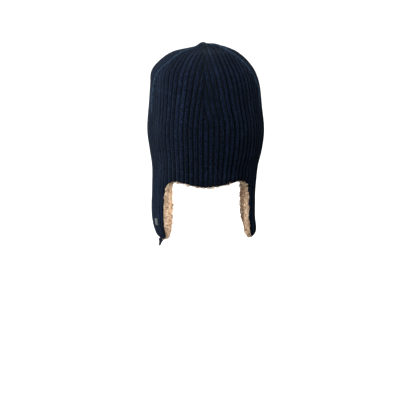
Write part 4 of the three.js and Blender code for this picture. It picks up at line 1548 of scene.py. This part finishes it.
for height in strap_heights:
    width = math.sqrt(strap_half**2 - max(height - strap_straight, 0) ** 2)
    twist = math.radians(STRAP_TWIST) * (1 - float(rise(height, STRAP_TWISTS_BELOW, STRAP_LENGTH)))
    face = np.array([strap_out[0] * math.cos(twist) - strap_out[1] * math.sin(twist),
                     strap_out[0] * math.sin(twist) + strap_out[1] * math.cos(twist), 0])
    side = np.array([-face[1], face[0], 0])
    across = strap_across * width
    seam = STRAP_SEAM_DEPTH * hump(np.abs(across) - (width - STRAP_SEAM_INSET), STRAP_SEAM_HALF)
    seam = seam * (width > STRAP_SEAM_FROM)
    through = np.sign(strap_through) * np.maximum(np.abs(strap_through) * STRAP_THICKNESS / 2 - seam, 0)
    top = hem_height(across) + STRAP_TUCK
    z = between(top, strap_top_z - height, min(height / strap_half, 1))
    middle = strap_top * (1, 1, 0) + strap_out * STRAP_SWAY * (height / STRAP_LENGTH) ** STRAP_SWAY_POWER
    strap_places.append(middle + across[:, None] * side + through[:, None] * face
                        + z[:, None] * np.array((0, 0, 1)))
strap_places = np.array(strap_places).reshape(-1, 3)
strap_faces = [[a, d, c, b] for a, b, c, d in tube_faces(len(strap_heights), STRAP_SIDES)]
strap_u = strap_across * strap_half / STRAP_WALE
strap_v = strap_heights / STRAP_COURSE
strap_uv = [(strap_u[c % STRAP_SIDES], strap_v[c // STRAP_SIDES]) for face in strap_faces for c in face]
last_ring = (len(strap_heights) - 1) * STRAP_SIDES
strap_faces.append(list(range(STRAP_SIDES)))
strap_faces.append([last_ring + s for s in range(STRAP_SIDES)][::-1])
strap_uv += [(0, 0)] * (2 * STRAP_SIDES)
strap = make_object(
    "chin_strap_band", strap_places, strap_faces, strap_uv,
    tone=np.full(len(strap_places), STRAP_TONE), worn=np.zeros(len(strap_places)))

# %% Label and strap materials
GREY = (0.05, 0.055, 0.062)
TAPE_DARK = (0.013, 0.0155, 0.019, 1)
TAPE_LIT = (0.041, 0.048, 0.057, 1)
TAPE_BASE = 0.5
THREAD_DARK = (0.03, 0.033, 0.038, 1)
THREAD_LIT = (0.07, 0.077, 0.088, 1)

label_material, label_shader = plain_material("grey woven tape", GREY, roughness=0.85)
label_tree = label_material.node_tree
threads = placed_group(label_tree, weave, Count=stitch_count(label_tree))["Height"]
label_fibre = placed_group(label_tree, fuzz, Place=own_place(label_tree), Fibre_size=0.0003, Patch_size=0.006)
# The tape is painted darker where its threads dip under, as painted shade.
label_shade = maths(label_tree, "ADD", TAPE_BASE, label_fibre["Shade"])
label_share = maths(label_tree, "MULTIPLY", threads, label_shade)
put(label_shader.inputs["Base Color"], mixed(label_tree, label_share, TAPE_DARK, TAPE_LIT))
put_all(label_shader, Sheen_Weight=0.1)
add_bump(label_tree, label_shader, threads, distance=0.0002, strength=0.7)
label.data.materials.append(label_material)

thread_material, thread_shader = plain_material("grey sewing thread", GREY, roughness=0.8)
thread_tree = thread_material.node_tree
thread_place = own_place(thread_tree)
thread_fibre = placed_group(thread_tree, fuzz, Place=thread_place, Fibre_size=0.0002, Patch_size=0.003)
put(thread_shader.inputs["Base Color"],
    mixed(thread_tree, thread_fibre["Shade"], THREAD_DARK, THREAD_LIT))
add_bump(thread_tree, thread_shader, thread_fibre["Height"], distance=0.0001, strength=0.5)
label_stitches.data.materials.append(thread_material)

strap_material = knit_material("navy fine knit band")
strap.data.materials.append(strap_material)
print("materials", len(bpy.data.materials))

# %% [markdown]
# Each piece rides on the hat's one body, and hides the solid that it stands for. Then the box of the
# finished hat is set beside the box of the solids.

# %% Join the pieces to the imported model
PIECES = (
    (knit_shell, "knit_shell", "knit"),
    (pile_body, "boa_lining", "pile"),
    *((piece, "boa_lining", "pile") for piece in curl_pieces),
    (label, "label_tab", "label"),
    (label_stitches, "label_tab", "label"),
    (strap, "chin_strap", "strap"),
)
for piece, node, slot in PIECES:
    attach(piece, "root")
    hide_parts(node)

visual_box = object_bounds()
for name, box in (("solids", cad_box), ("pieces", visual_box)):
    print(name, [[round(x / MM, 1) for x in corner] for corner in box])
